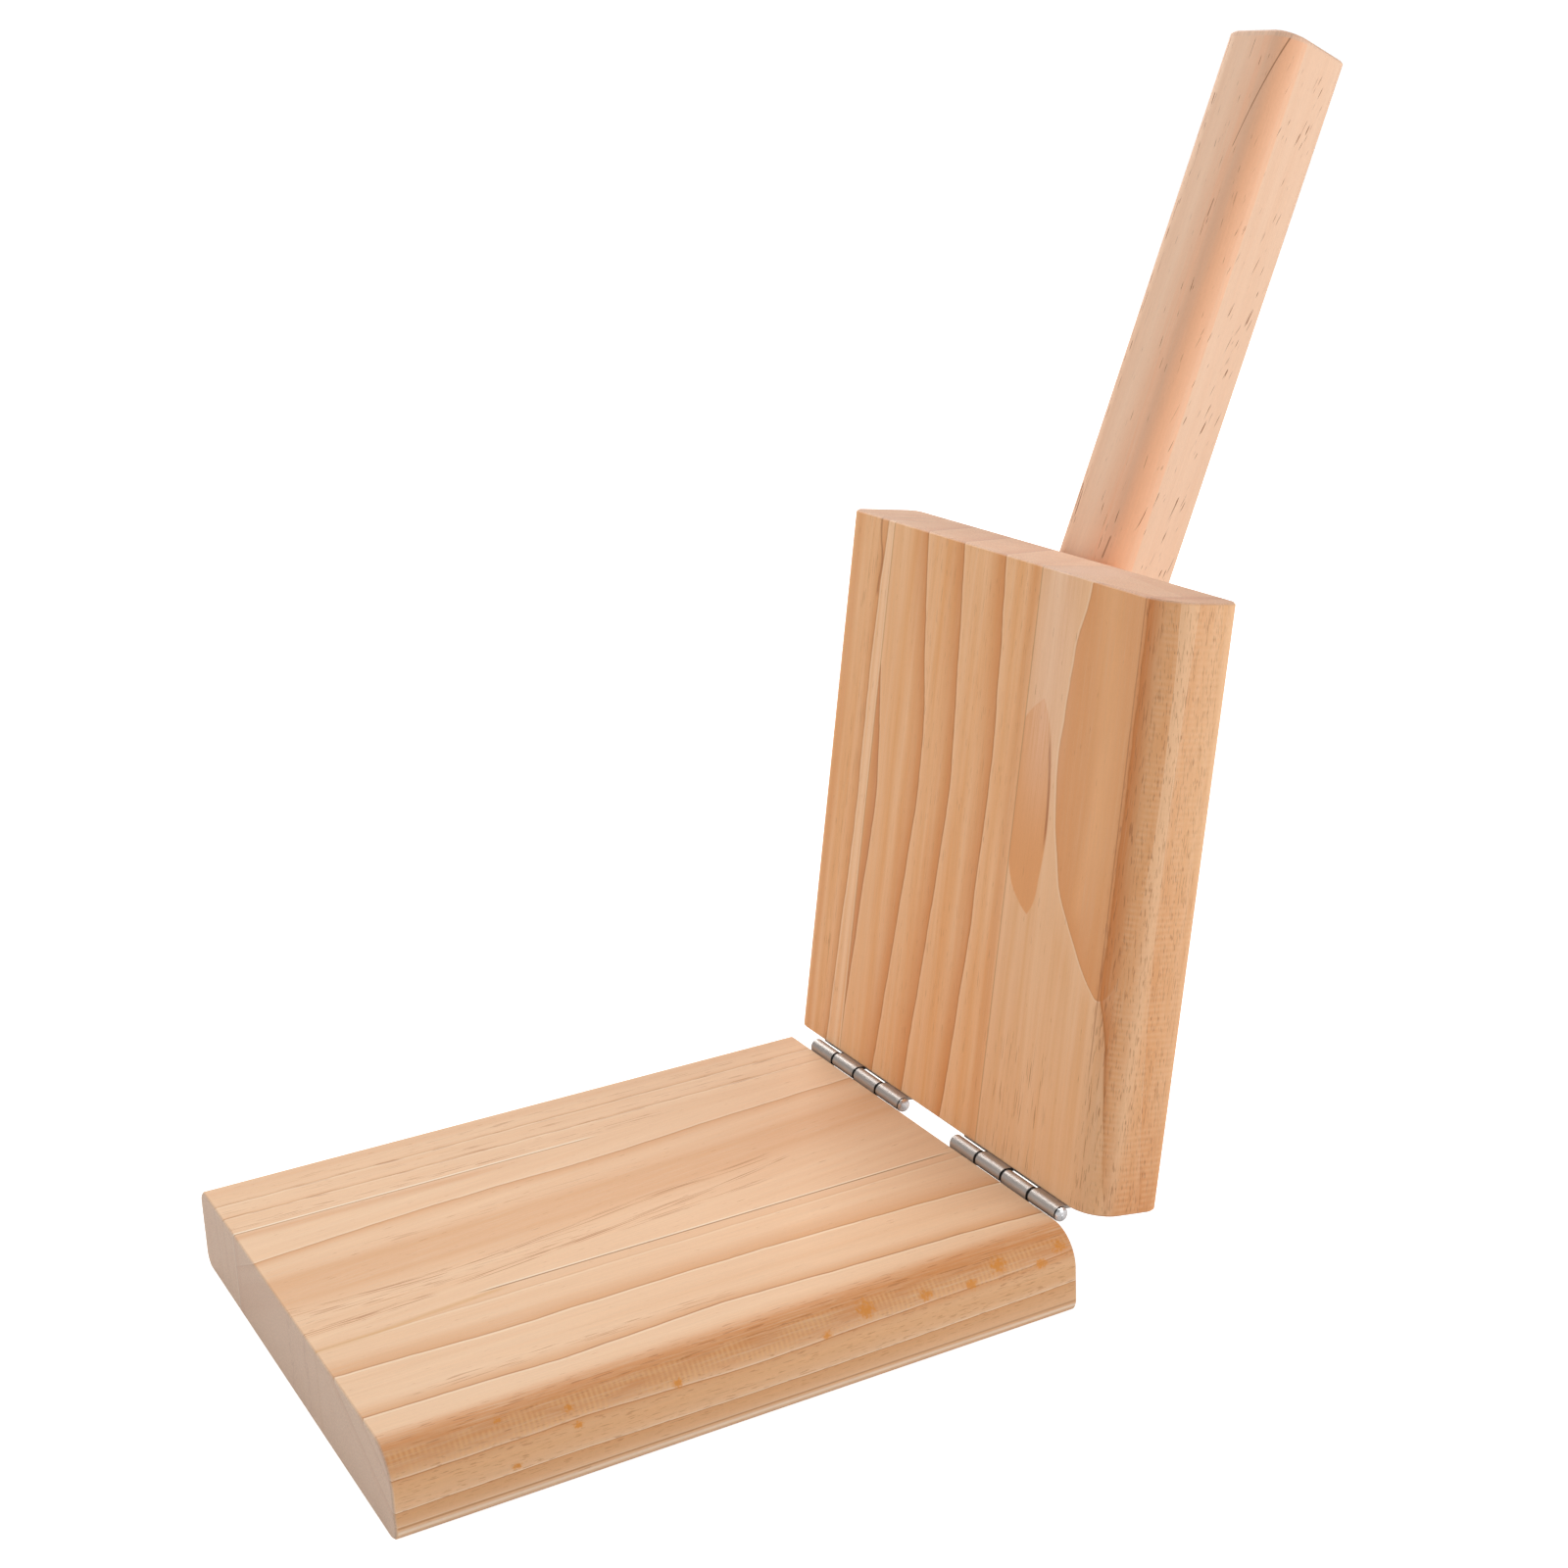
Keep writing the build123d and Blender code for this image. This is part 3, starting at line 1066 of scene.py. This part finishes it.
@dataclass
class BaseBoard(GluedBoard):
    """The base board, of pale pine."""

    length: float = 142.0
    rear: float = 71.0
    thickness: float = 17.5
    far_glue: float = -33.5
    near_glue: float = 15.0
    tones: WoodTones = WoodTones(
        early=tone(235, 192, 152),
        late=tone(219, 162, 112),
        fresh=tone(240, 202, 165),
        stroke=tone(174, 110, 62),
        end=tone(196, 175, 162),
    )

    def placing(self) -> Placing:
        """The board's own position, from its rear top edge."""
        return Placing((0.0, self.rear, self.thickness), 0.0, (1.0, -1.0, -1.0), self.length)

    def wood(self, node: str, seed: float, marks: tuple[Mark, ...], **settings: object) -> Wood:
        """One of the board's staves."""
        return Wood(node, self.placing(), self.tones, seed, marks, **settings)

    def staves(self) -> tuple[Wood, ...]:
        """The staves from the far edge to the near one."""
        return self.far_stave(), self.middle_stave(), self.near_stave()

    def far_stave(self) -> Wood:
        """The quarter-sawn stave at the far edge.

        Returns:
            The stave with its marks.
        """
        marks = (
            Band(self.run(-53.6, -53.4), 2.6, 0.55, tone(228, 178, 136)),
            GrowthLine(((0, -47.6), (70, -47.2), (142, -47.0)), 0.15, 2.0, dark=0.4, pale=0.2, thin=0.3),
            GrowthLine(((0, -40.9), (70, -40.7), (142, -41.0)), 0.15, 1.6, dark=0.4, pale=0.2, thin=0.3),
            Dashes(self.run(-50.9, -50.6), 1.4, 0.55, seed=0.1, strength=0.4),
            Dashes(self.run(-47.4, -47.2), 0.9, 0.7, seed=0.2, strength=0.5),
            Dashes(self.run(-44.0, -43.8), 1.2, 0.5, seed=0.3, strength=0.4),
            Dashes(self.run(-40.8, -41.0), 0.9, 0.7, seed=0.4, strength=0.5),
            Dashes(self.run(-36.2, -35.9), 1.6, 0.7, reach=(45, 142), seed=0.5, strength=0.5),
            *seam(self.far_glue, (66, 150), 0.6, 0.95, -1.0),
        )
        return self.wood("base_far_stave", 1.0, marks, strokes=0.45, rounding=self.far_rounding())

    def middle_stave(self) -> Wood:
        """The middle stave, with slanting strokes.

        Returns:
            The stave with its marks.
        """
        edge = (
            (0, -28.5), (27, -27.1), (41, -26.2), (55, -24.8), (73, -23.9),
            (86, -23.9), (105, -23.0), (123, -21.6), (142, -19.8),
        )
        first = ((30, -6.0), (38, -4.4), (64, -2.1), (86, 1.1), (114, 3.8), (142, 2.0))
        second = ((28, -3.0), (34.5, -1.6), (63.6, 3.8), (91, 7.5), (106, 9.3), (142, 9.8))
        third = ((40, 4.2), (43.6, 4.7), (63.6, 6.5), (142, 12.0))
        fourth = ((0, 8.0), (122, 11.1), (142, 12.0))
        scattered = ((0, 4.0), (86, 5.0), (142, 6.0))
        marks = (
            Band(((0, -14.0), (60, -9.0), (100, -7.0), (142, -6)), 13.0, 0.6, self.tones.late, -2.0),
            Band(((0, -17.5), (60, -13), (142, -10)), 2.6, 0.4, self.tones.late, -2.0),
            Band(((0, -10.5), (60, -5), (142, -1)), 2.0, 0.35, self.tones.late, -2.0),
            GrowthLine(edge, -2.0, 4.5, dark=0.95, thin=0.5, lay=Lay.RIGHT),
            Band(self.run(-31.0, -32.0), 2.4, 0.6, tone(216, 158, 110), reach=(96, 150), ramp=26.0),
            Dashes(first, 1.4, 0.8, (36, 142), width=0.12, length=9.0, seed=0.1, strength=0.65),
            Dashes(second, 1.4, 0.8, (34, 108), width=0.12, length=10.0, seed=0.2, strength=0.65),
            Dashes(third, 1.0, 0.8, (42, 72), width=0.12, length=8.0, seed=0.3, strength=0.55),
            Dashes(fourth, 1.6, 0.9, (118, 142), width=0.15, length=7.0, seed=0.4, strength=0.6),
            Dashes(scattered, 4.0, 0.6, (80, 142), width=0.15, length=6.0, seed=0.6, strength=0.45),
            Dashes(self.run(-18.0, -14.0), 2.2, 0.6, (60, 120), seed=0.5, strength=0.3),
            *seam(self.far_glue, (66, 150), 0.55, 0.0, 1.0),
            *seam(self.near_glue, (6, 104), 0.9, 0.75, -1.0),
        )
        return self.wood("base_middle_stave", 2.0, marks, slant=0.1, strokes=0.4)

    def near_stave(self) -> Wood:
        """The near stave, whose growth lines come out again on the board's side.

        Returns:
            The stave with its marks.
        """
        inner = (
            (0, 32.0), (7, 31.5), (27, 30.6), (51, 29.7), (73, 29.5),
            (91, 29.7), (109, 30.0), (127, 29.3), (142, 28.8),
        )
        outer = (
            (0, 47.3), (14, 46.1), (36, 45.2), (55, 44.3), (71, 43.6),
            (86, 44.3), (105, 45.2), (118, 44.7), (142, 44.3),
        )
        flecks = (
            (108, 2.8, 0.9), (121, 1.6, 0.7), (107, 5.8, 0.8), (87, 4.4, 1.0),
            (56, 4.6, 0.9), (34, 3.4, 1.3), (47, 2.6, 1.9), (24, 4.0, 1.2),
            (17, 2.4, 1.8), (8, 4.4, 1.2), (119, 9.8, 0.8), (3, 2.6, 1.4),
        )
        by_glue = ((100, 15.6), (120, 17.2), (132, 18.4), (142, 18.7))
        level, rounded = self.run(8.0, 8.0), self.run(53.0, 53.0)
        on_side = {"plane": Plane.SIDE, "fibrous": False}
        marks = (
            Band(self.run(7.6, 7.0), 5.5, 0.7, tone(226, 170, 118), **on_side),
            Band(self.run(13.0, 12.0), 4.0, 0.6, tone(226, 170, 120), **on_side),
            GrowthLine(self.run(17.6, 18.6), 2.8, 4.0, dark=0.3, pale=0.3, thin=0.15),
            Band(by_glue, 1.2, 0.55, tone(214, 160, 96), reach=(106, 150)),
            GrowthLine(inner, 2.6, 8.0, dark=0.95, pale=0.7, thin=0.6, painted_highlight=0.5),
            GrowthLine(outer, 2.6, 5.0, dark=0.95, pale=0.7, thin=0.8, painted_highlight=0.4),
            GrowthLine(self.run(60.2, 60.8), 2.6, 9.5, dark=1.0, late=tone(200, 134, 78)),
            # Darker orange on the near rounding: partly the late wood's own tone, partly painted shade
            # where the rounding faces away from the lamps
            Band(self.run(53.2, 53.6), 4.2, 0.85, tone(210, 134, 68), 1.4),
            Dashes(self.run(40.5, 41.5), 2.0, 0.6, (70, 130), seed=0.1, strength=0.5),
            Dashes(rounded, 3.5, 0.5, (0, 142), width=0.14, length=3.0, strength=0.5, seed=0.2),
            Dashes(level, 7.0, 0.5, width=0.12, length=1.4, strength=0.4, seed=0.3, plane=Plane.SIDE),
            Chatter(tone(236, 184, 128)),
            Flecks(flecks, tone(222, 142, 52), 0.85),
            # Painted highlight: the lowest visible strip of the near side, lightened as if it caught
            # light from the white floor
            Band(self.run(15.3, 15.3), 0.65, 0.9, tone(252, 228, 204), **on_side),
            Band(self.run(14.3, 14.3), 0.3, 0.6, self.tones.stroke, **on_side),
            *seam(self.near_glue, (6, 104), 0.9, 0.0, -1.0),
        )
        return self.wood("base_near_stave", 3.0, marks, strokes=0.25, rounding=self.near_rounding())


@dataclass
class PressBoard(GluedBoard):
    """The press board, of warmer, flat-sawn pine: its near stave has tones of its own."""

    length: float = 123.0
    gap: float = 1.6
    below: float = 1.1
    far_glue: float = -39.0
    near_glue: float = 17.5
    tones: WoodTones = WoodTones(
        early=tone(233, 171, 115),
        late=tone(214, 142, 84),
        fresh=tone(241, 191, 145),
        stroke=tone(158, 96, 56),
        end=tone(238, 202, 182),
    )
    pale: WoodTones = WoodTones(
        early=tone(231, 176, 126),
        late=tone(222, 154, 98),
        fresh=tone(240, 194, 152),
        stroke=tone(158, 98, 58),
        end=tone(226, 190, 172),
    )

    def placing(self) -> Placing:
        """The board's own position, from its hinge end's working edge."""
        corner = PIN - self.gap * PRESS_Y + self.below * PRESS_Z
        return Placing(tuple(corner), -OPENING, (1.0, -1.0, 1.0), self.length)

    def wood(
        self, node: str, tones: WoodTones, seed: float, marks: tuple[Mark, ...], **settings: object
    ) -> Wood:
        """One of the board's staves."""
        return Wood(node, self.placing(), tones, seed, marks, sawn=0.55, slot="press_pine", **settings)

    def staves(self) -> tuple[Wood, ...]:
        """The staves from the far edge to the near one."""
        return self.far_stave(), self.middle_stave(), self.near_stave()

    def far_stave(self) -> Wood:
        """The stave at the far edge, with a pale strip beside its glue line.

        Returns:
            The stave with its marks.
        """
        edge = ((0, -45.3), (32, -43.9), (50, -43.0), (96, -43.0), (123, -41.6))
        strip = ((0, -41.6), (32, -41.0), (60, -40.8), (123, -40.4))
        stain = ((100, -43.0), (108, -43.4), (114, -42.8), (119, -44.2), (123, -44.6))
        marks = (
            Band(self.run(-54.2, -53.4), 2.4, 0.6, ORANGE, 0.4),
            GrowthLine(edge, 0.4, 4.0, 4.5, dark=0.7, pale=1.0, thin=0.35),
            Band(strip, 1.7, 0.6, tone(252, 212, 174), 0.4, fibrous=False),
            Dashes(self.run(-47.0, -46.5), 4.5, 0.5, seed=0.1, strength=0.35),
            Dashes(self.run(-44.8, -43.6), 1.4, 0.4, seed=0.2, strength=0.3),
            Band(stain, 0.7, 0.7, self.tones.stroke, reach=(107, 126), ramp=2.0),
            *seam(self.far_glue, (-5, 130), 0.3, 0.3, -1.0),
        )
        rounding = self.far_rounding()
        return self.wood("press_far_stave", self.tones, 4.0, marks, strokes=0.45, rounding=rounding)

    def middle_stave(self) -> Wood:
        """The middle stave, with four bold growth lines.

        Returns:
            The stave with its marks.
        """
        lean = -0.42
        cut = {"dark": 1.0, "pale": 0.8, "thin": 0.5, "painted_highlight": 0.1}
        sliver = (
            (0, -39.5), (14, -38.5), (27, -37.5), (41, -36.6), (50, -35.7), (61, -35.1),
            (69, -35.7), (82, -37.5), (95, -39.5), (123, -40.5),
        )
        bold = (
            (
                (0, -24.8), (18, -23.0), (32, -21.6), (46, -20.3), (55, -19.4), (64, -18.7),
                (73, -18.7), (84, -19.4), (94, -21.2), (109, -23.5), (123, -25.3),
            ),
            (
                (0, -12.1), (18, -10.7), (32, -9.4), (46, -8.2), (61, -7.1), (72, -6.6),
                (82, -7.3), (96, -8.5), (111, -9.8), (123, -11.2),
            ),
            (
                (0, 3.4), (14, 4.7), (27, 5.6), (41, 6.7), (55, 7.0), (68, 7.5),
                (85, 7.5), (96, 6.7), (111, 5.6), (123, 4.3),
            ),
        )
        marks = (
            *(GrowthLine(path, lean, 7.5, 3.6, **cut) for path in bold),
            GrowthLine(sliver, lean, 6.0, 4.0, late=tone(208, 136, 84), **cut),
            Band(self.run(15.5, 15.5), 3.0, 0.5, self.tones.late, lean),
            Dashes(self.run(0.0, 0.0), 40.0, 0.35, seed=0.1, strength=0.3, length=3.0),
            *seam(self.far_glue, (-5, 130), 0.35, 0.0, 1.0),
            *seam(self.near_glue, (-5, 130), 0.5, 0.0, 1.0),
        )
        return self.wood("press_middle_stave", self.tones, 5.0, marks, strokes=0.25)

    def near_stave(self) -> Wood:
        """The near stave, where the saw ran along one growth line and left an island.

        Returns:
            The stave with its marks.
        """
        coast = (
            (0, 75.0), (20, 62.0), (27, 57.9), (37, 55.6), (42, 53.4), (43, 51.6),
            (46, 47.5), (52, 42.0), (56, 38.8), (61, 35.6), (68, 33.4), (77, 31.1),
            (87, 30.2), (96, 30.6), (105, 31.1), (112, 32.0), (118, 33.8), (123, 34.5),
        )
        left = (
            (52.8, 25.8), (54.4, 22.9), (58, 19.3), (64.8, 17.2),
            (80, 16.0), (91.6, 17.4), (97.1, 23.2),
        )
        right = (
            (52.8, 25.8), (55.7, 27.5), (61.2, 28.4), (68.5, 29.1), (77.5, 28.8),
            (84.8, 27.9), (92, 26.1), (97.1, 23.2),
        )
        streak = ((60, 28.2), (68.5, 28.8), (77.5, 28.4), (84.8, 27.4), (92, 25.8), (97, 23.5))
        deeper = ((0, 125.0), (27, 108.0), (62, 96.5), (123, 99.0))
        wedge = (
            (0, 57.2), (12, 56.4), (27, 55.2), (37, 54.2),
            (42, 53.0), (44, 52.4), (60, 52.4), (123, 52.0),
        )
        by_coast = ((0, 40.0), (60, 42.0), (86, 44.0), (123, 46.0))
        upper = ((0, 40.0), (60, 46.0), (123, 41.0))
        by_edge = ((0, 56.4), (45, 55.8), (123, 56.0))
        level = self.run(8.0, 8.0)
        brown = tone(208, 130, 70)
        saw = {"lay": Lay.RIGHT, "pale": 0.0, "painted_highlight": 0.0}
        on_side = {"strength": 0.5, "plane": Plane.SIDE}
        marks = (
            GrowthLine(coast, 6.0, 900.0, 7.0, dark=0.72, pale=0.7, thin=0.0, painted_highlight=0.25, lay=Lay.RIGHT),
            GrowthLine(coast, 7.0, 9.0, 0.5, dark=0.7, thin=0.25, **saw),
            GrowthLine(deeper, -5.5, 40.0, 3.0, dark=0.6, pale=0.5, thin=0.3, lay=Lay.RIGHT),
            Band(by_coast, 3.0, 0.35, tone(244, 186, 134), reach=(60, 90)),
            Island(left, right, tone(228, 162, 106)),
            Band(streak, 0.7, 0.9, tone(168, 98, 50), reach=(72, 86), fibrous=False, layer=(-1, 1)),
            Band(upper, 6.5, 0.5, tone(240, 184, 132), reach=(74, 130), ramp=22.0),
            Band(by_edge, 3.6, 0.9, tone(222, 154, 102), reach=(38, 60), ramp=16.0),
            GrowthLine(wedge, 0.0, 3.8, 0.5, dark=1.0, thin=0.4, late=brown, **saw),
            Band(self.run(53.2, 52.6), 2.0, 0.6, brown, reach=(48, 130), ramp=12.0),
            Band(self.run(52.2, 51.2), 0.3, 0.55, tone(158, 92, 50), reach=(34, 130), ramp=12.0),
            Band(self.run(56.6, 56.2), 2.0, 0.6, tone(232, 174, 122)),
            Band(((0, 4.6), (30, 5.6), (123, 5.9)), 2.4, 0.7, self.pale.fresh, plane=Plane.SIDE),
            Band(self.run(24.0, 24.0), 11.0, 0.5, tone(246, 208, 180), reach=(96, 130), ramp=34.0),
            Dashes(self.run(30.0, 30.0), 14.0, 0.5, (-10, 26), seed=0.1, strength=0.5),
            Dashes(self.run(53.5, 53.5), 3.5, 0.55, width=0.12, length=2.2, seed=0.2, strength=0.5),
            Dashes(level, 9.0, 0.55, width=0.11, length=1.3, slant=0.04, seed=0.3, **on_side),
            Dashes(self.run(10.0, 10.0), 8.0, 0.35, width=0.1, length=4.0, seed=0.5, **on_side),
            Chatter(self.pale.fresh, pitch=1.25, top=2.0, bottom=16.0, strength=0.3),
            *seam(self.near_glue, (-5, 130), 0.35, 0.0, -1.0),
        )
        settings = {"strokes": 0.25, "streak": 0.15, "rounding": self.near_rounding()}
        return self.wood("press_near_stave", self.pale, 6.0, marks, **settings)


@dataclass
class Handle:
    """The beech handle, sawn so that a warmer sheet crosses its near lower edge."""

    heel_along: float = 42.2
    back: float = 18.6
    length: float = 193.4
    half_width: float = 11.0
    tones: WoodTones = WoodTones(
        early=tone(241, 198, 166),
        late=tone(240, 180, 142),
        fresh=tone(245, 206, 176),
        stroke=tone(150, 96, 66),
        end=tone(236, 198, 172),
    )

    def placing(self) -> Placing:
        """The handle's own position, from its heel: depth runs from its back to its underside."""
        heel = PIN - self.heel_along * PRESS_Y + self.back * PRESS_Z
        return Placing(tuple(heel), -OPENING - HANDLE_TILT, (1.0, -1.0, -1.0), self.length)

    def dress(self, shared: Shared) -> None:
        """Dresses the handle.

        Args:
            shared: the shared node groups.
        """
        lower, under = (10.6, 17.0), (14.6, 17.0)
        warm_sheet = ((0, 30.2), (193, 29.4))
        crack = ((168, 4.9), (180, 7.1), (193, 9.6))
        pores = {"width": 0.15, "length": 3.2, "strength": 1.0}
        dark = {"colour": self.tones.stroke, "ramp": 0.8, "sunk": 0.3, "fibrous": False}
        marks = (
            Band(((0, 4.6), (193, 4.0)), 6.0, 0.5, tone(232, 172, 132), layer=lower),
            GrowthLine(warm_sheet, -1.6, 30.0, 1.5, 0.4, pale=0.0, thin=0.0, painted_highlight=0.0, lay=Lay.RIGHT),
            Band(((0, 9.6), (193, 9.8)), 3.4, 0.85, tone(255, 192, 150), layer=lower, fibrous=False),
            Dashes(((0, 3.2), (193, 3.2)), 3.2, 0.3, slant=0.17, seed=0.1, plane=Plane.SIDE, **pores),
            Dashes(((0, 9.5), (193, 9.5)), 4.5, 0.12, slant=0.17, seed=0.2, plane=Plane.SIDE, **pores),
            Dashes(((0, -6.5), (193, -6.5)), 1.6, 0.45, seed=0.3, **pores),
            Dashes(((0, 3.0), (193, 3.0)), 9.0, 0.1, seed=0.4, **pores),
            Band(crack, 0.2, 0.9, reach=(170, 196), layer=(11.5, 17.0), **dark),
            Band(((81, 7.0), (86, 7.4)), 0.3, 0.8, reach=(81.5, 85.5), layer=under, **dark),
            Band(((126, 9.8), (130, 10.0)), 0.3, 0.8, reach=(126, 129), layer=under, **dark),
            Band(((154, 4.6), (159, 4.9)), 0.3, 0.8, reach=(155, 158), layer=under, **dark),
        )
        settings = {"half_width": self.half_width, "strokes": 0.1, "streak": 0.12}
        Wood("handle", self.placing(), self.tones, 7.0, marks, **settings).dress(shared)


# The middles of the two hinges along X, the step from joint to joint of their knuckles, and how far
# the head of a pin is from its hinge's middle
HINGE_MIDDLES = (-28.2, 31.2)
KNUCKLE_STEP = 9.58
PIN_HEAD = 19.1


@dataclass(frozen=True)
class MetalFinish:
    """Plated steel, in millimetres.

    Seams are the places along X where two pieces meet on the hinge's barrel. Beside them painted shade
    darkens the metal up to the barrel's radius from the pin's axis, standing in for the dark gaps.
    """

    name: str
    colour: Tone
    rough: float
    seams: tuple[float, ...] = ()
    seam_width: float = 0.9
    barrel: float = 2.0

    def shaded_at_seams(self, graph: Graph, here: Socket) -> Socket:
        """Paints shade beside the seams, where the gaps between the pieces are dark.

        Args:
            graph: the material's graph.
            here: the position in metres.

        Returns:
            The colour.
        """
        darkest, full_dark, clear_of_it, past_barrel = 0.1, 0.35, 0.6, 1.1
        beside = graph.stretched(here, (0.0, 1.0, 1.0), tuple(PIN * -MM))
        away = graph.add("ShaderNodeVectorMath", {0: beside}, operation="LENGTH").outputs["Value"]
        clear = graph.fade(away, self.barrel * MM, self.barrel * past_barrel * MM)
        unshaded = 1.0
        for seam_x in self.seams:
            off = graph.maths("ABSOLUTE", graph.maths("SUBTRACT", graph.apart(here)[0], seam_x * MM))
            width = self.seam_width * MM
            apart = graph.fade(off, width * full_dark, width * clear_of_it)
            unshaded = graph.maths("MULTIPLY", unshaded, apart)
        lit = graph.maths("MAXIMUM", clear, unshaded)
        return graph.shaded(self.colour, graph.maths("MULTIPLY_ADD", lit, 1.0 - darkest, darkest))

    def material(self) -> bpy.types.Material:
        """The metal's material, with faint drawing marks along X.

        Returns:
            The material.
        """
        mark_scale, spread = (400.0, 4000.0, 4000.0), 0.2
        material = bpy.data.materials.new(self.name)
        graph = emptied(material)
        here = graph.add("ShaderNodeTexCoord", {}).outputs["Object"]
        marks = graph.noise(graph.stretched(here, mark_scale), detail=3.0)
        rough = graph.maths("MULTIPLY_ADD", marks, spread, self.rough - spread / 2)
        shader = graph.add("ShaderNodeBsdfPrincipled", {"Roughness": rough})
        shader.inputs["Base Color"].default_value = self.colour
        # Painted shade in the gaps at the seams
        if self.seams:
            graph.feed([(shader.inputs["Base Color"], self.shaded_at_seams(graph, here))])
        shader.inputs["Metallic"].default_value = 1.0
        graph.add("ShaderNodeOutputMaterial", {"Surface": shader.outputs[0]})
        return material


@dataclass
class Hinges:
    """The two butt hinges and the screws, all plated."""

    leaves: MetalFinish = MetalFinish(
        "hinge_strip",
        (0.5, 0.46, 0.43, 1.0),
        0.5,
        seams=tuple(middle + step * KNUCKLE_STEP for middle in HINGE_MIDDLES for step in (-1, 0, 1)),
    )
    pins: MetalFinish = MetalFinish(
        "hinge_wire",
        (0.88, 0.88, 0.9, 1.0),
        0.28,
        seams=tuple(middle + PIN_HEAD for middle in HINGE_MIDDLES),
        seam_width=0.5,
    )
    screws: MetalFinish = MetalFinish("screw_plate", (0.68, 0.67, 0.65, 1.0), 0.32)

    def dress(self) -> None:
        """Puts the metals on the hinges and screws."""
        for ending, finish in (("leaf", self.leaves), ("pin", self.pins), ("screws", self.screws)):
            material = finish.material()
            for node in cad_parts:
                if node.endswith(ending):
                    wear(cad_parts[node], material)


@dataclass(frozen=True)
class Softbox:
    """A square soft light: its place and side in metres and its power in watts."""

    name: str
    place: Triple
    size: float
    power: float

    def hang(self, aim: Triple) -> bpy.types.Object:
        """Hangs the light.

        Args:
            aim: the point that it looks at.

        Returns:
            The light object.
        """
        data = bpy.data.lights.new(self.name, "AREA")
        data.shape = "SQUARE"
        data.size = self.size
        data.energy = self.power
        light = put_up(self.name, data)
        light.location = self.place
        light.rotation_mode = "QUATERNION"
        light.rotation_quaternion = (Vector(aim) - Vector(self.place)).to_track_quat("-Z", "Y")
        return light


@dataclass
class Studio:
    """The plain room: the camera, the soft lights and the floor, in metres.

    Floor lift and air are the light that the floor and the air give off. The camera alone sees the
    floor's, and it sees the air brighter by 1.
    """

    eye: Triple = (0.406858, -0.175417, 0.249324)
    azimuth: float = math.radians(62.804)
    elevation: float = math.radians(15.779)
    roll: float = math.radians(-2.858)
    lens: float = 55.264
    shift: tuple[float, float] = (0.02580, -0.05596)
    floor_reach: float = 40.0
    floor_lift: float = 0.8
    air: float = 0.27
    aim: Triple = (0.0, 0.03, 0.08)
    softboxes: tuple[Softbox, ...] = (
        Softbox("left_key", (-1.05, 0.30, 1.05), 0.9, 14.0),
        Softbox("right_rear", (0.76, 0.64, 0.33), 0.6, 5.5),
        Softbox("front_fill", (-0.15, -1.15, 0.50), 0.8, 6.1),
    )

    def camera(self) -> bpy.types.Object:
        """Places the camera as the photograph's.

        Returns:
            The camera object.
        """
        data = bpy.data.cameras.new("camera")
        data.sensor_width = 36.0
        data.sensor_fit = "AUTO"
        data.lens = self.lens
        data.shift_x, data.shift_y = self.shift
        data.clip_start, data.clip_end = 0.01, 20.0
        camera = put_up("camera", data)
        level = math.cos(self.elevation)
        back = Vector(
            (math.sin(self.azimuth) * level, -math.cos(self.azimuth) * level, math.sin(self.elevation))
        )
        right = Vector((math.cos(self.azimuth), math.sin(self.azimuth), 0.0))
        up = back.cross(right)
        turned = math.cos(self.roll) * right + math.sin(self.roll) * up
        raised = -math.sin(self.roll) * right + math.cos(self.roll) * up
        facing = Matrix((turned, raised, back)).transposed().to_4x4()
        camera.matrix_world = Matrix.Translation(self.eye) @ facing
        bpy.context.scene.camera = camera
        return camera

    def floor(self) -> bpy.types.Object:
        """Lays the plain white floor.

        Returns:
            The floor object.
        """
        mesh = bpy.data.meshes.new("floor")
        shape = bmesh.new()
        bmesh.ops.create_grid(shape, x_segments=1, y_segments=1, size=self.floor_reach)
        shape.to_mesh(mesh)
        shape.free()
        floor = put_up("floor", mesh)
        material = bpy.data.materials.new("floor_paper")
        graph = emptied(material)
        seen = graph.add("ShaderNodeLightPath", {}).outputs["Is Camera Ray"]
        lift = graph.maths("MULTIPLY", seen, self.floor_lift)
        shader = graph.add("ShaderNodeBsdfPrincipled", {"Emission Strength": lift})
        shader.inputs["Base Color"].default_value = (0.8, 0.8, 0.8, 1.0)
        shader.inputs["Emission Color"].default_value = (1.0, 1.0, 1.0, 1.0)
        shader.inputs["Roughness"].default_value = 0.9
        graph.add("ShaderNodeOutputMaterial", {"Surface": shader.outputs[0]})
        mesh.materials.append(material)
        return floor

    def build(self) -> None:
        """Sets up the whole room."""
        bpy.context.scene.view_settings.view_transform = "Standard"
        world = bpy.data.worlds.new("studio_air")
        graph = emptied(world)
        seen = graph.add("ShaderNodeLightPath", {}).outputs["Is Camera Ray"]
        strength = graph.maths("MULTIPLY_ADD", seen, 1.0, self.air)
        sky = graph.add("ShaderNodeBackground", {"Color": (1.0, 1.0, 1.0, 1.0), "Strength": strength})
        graph.add("ShaderNodeOutputWorld", {"Surface": sky.outputs[0]})
        bpy.context.scene.world = world
        self.camera()
        self.floor()
        for softbox in self.softboxes:
            softbox.hang(self.aim)
        log.info("studio is set up")


def main() -> None:
    """Dresses the press and sets up the studio."""
    logging.basicConfig(level=logging.INFO, format="%(message)s")
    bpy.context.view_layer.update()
    shared = Shared()
    BaseBoard().dress(shared)
    PressBoard().dress(shared)
    Handle().dress(shared)
    Hinges().dress()
    Studio().build()


if __name__ == "__main__":
    main()
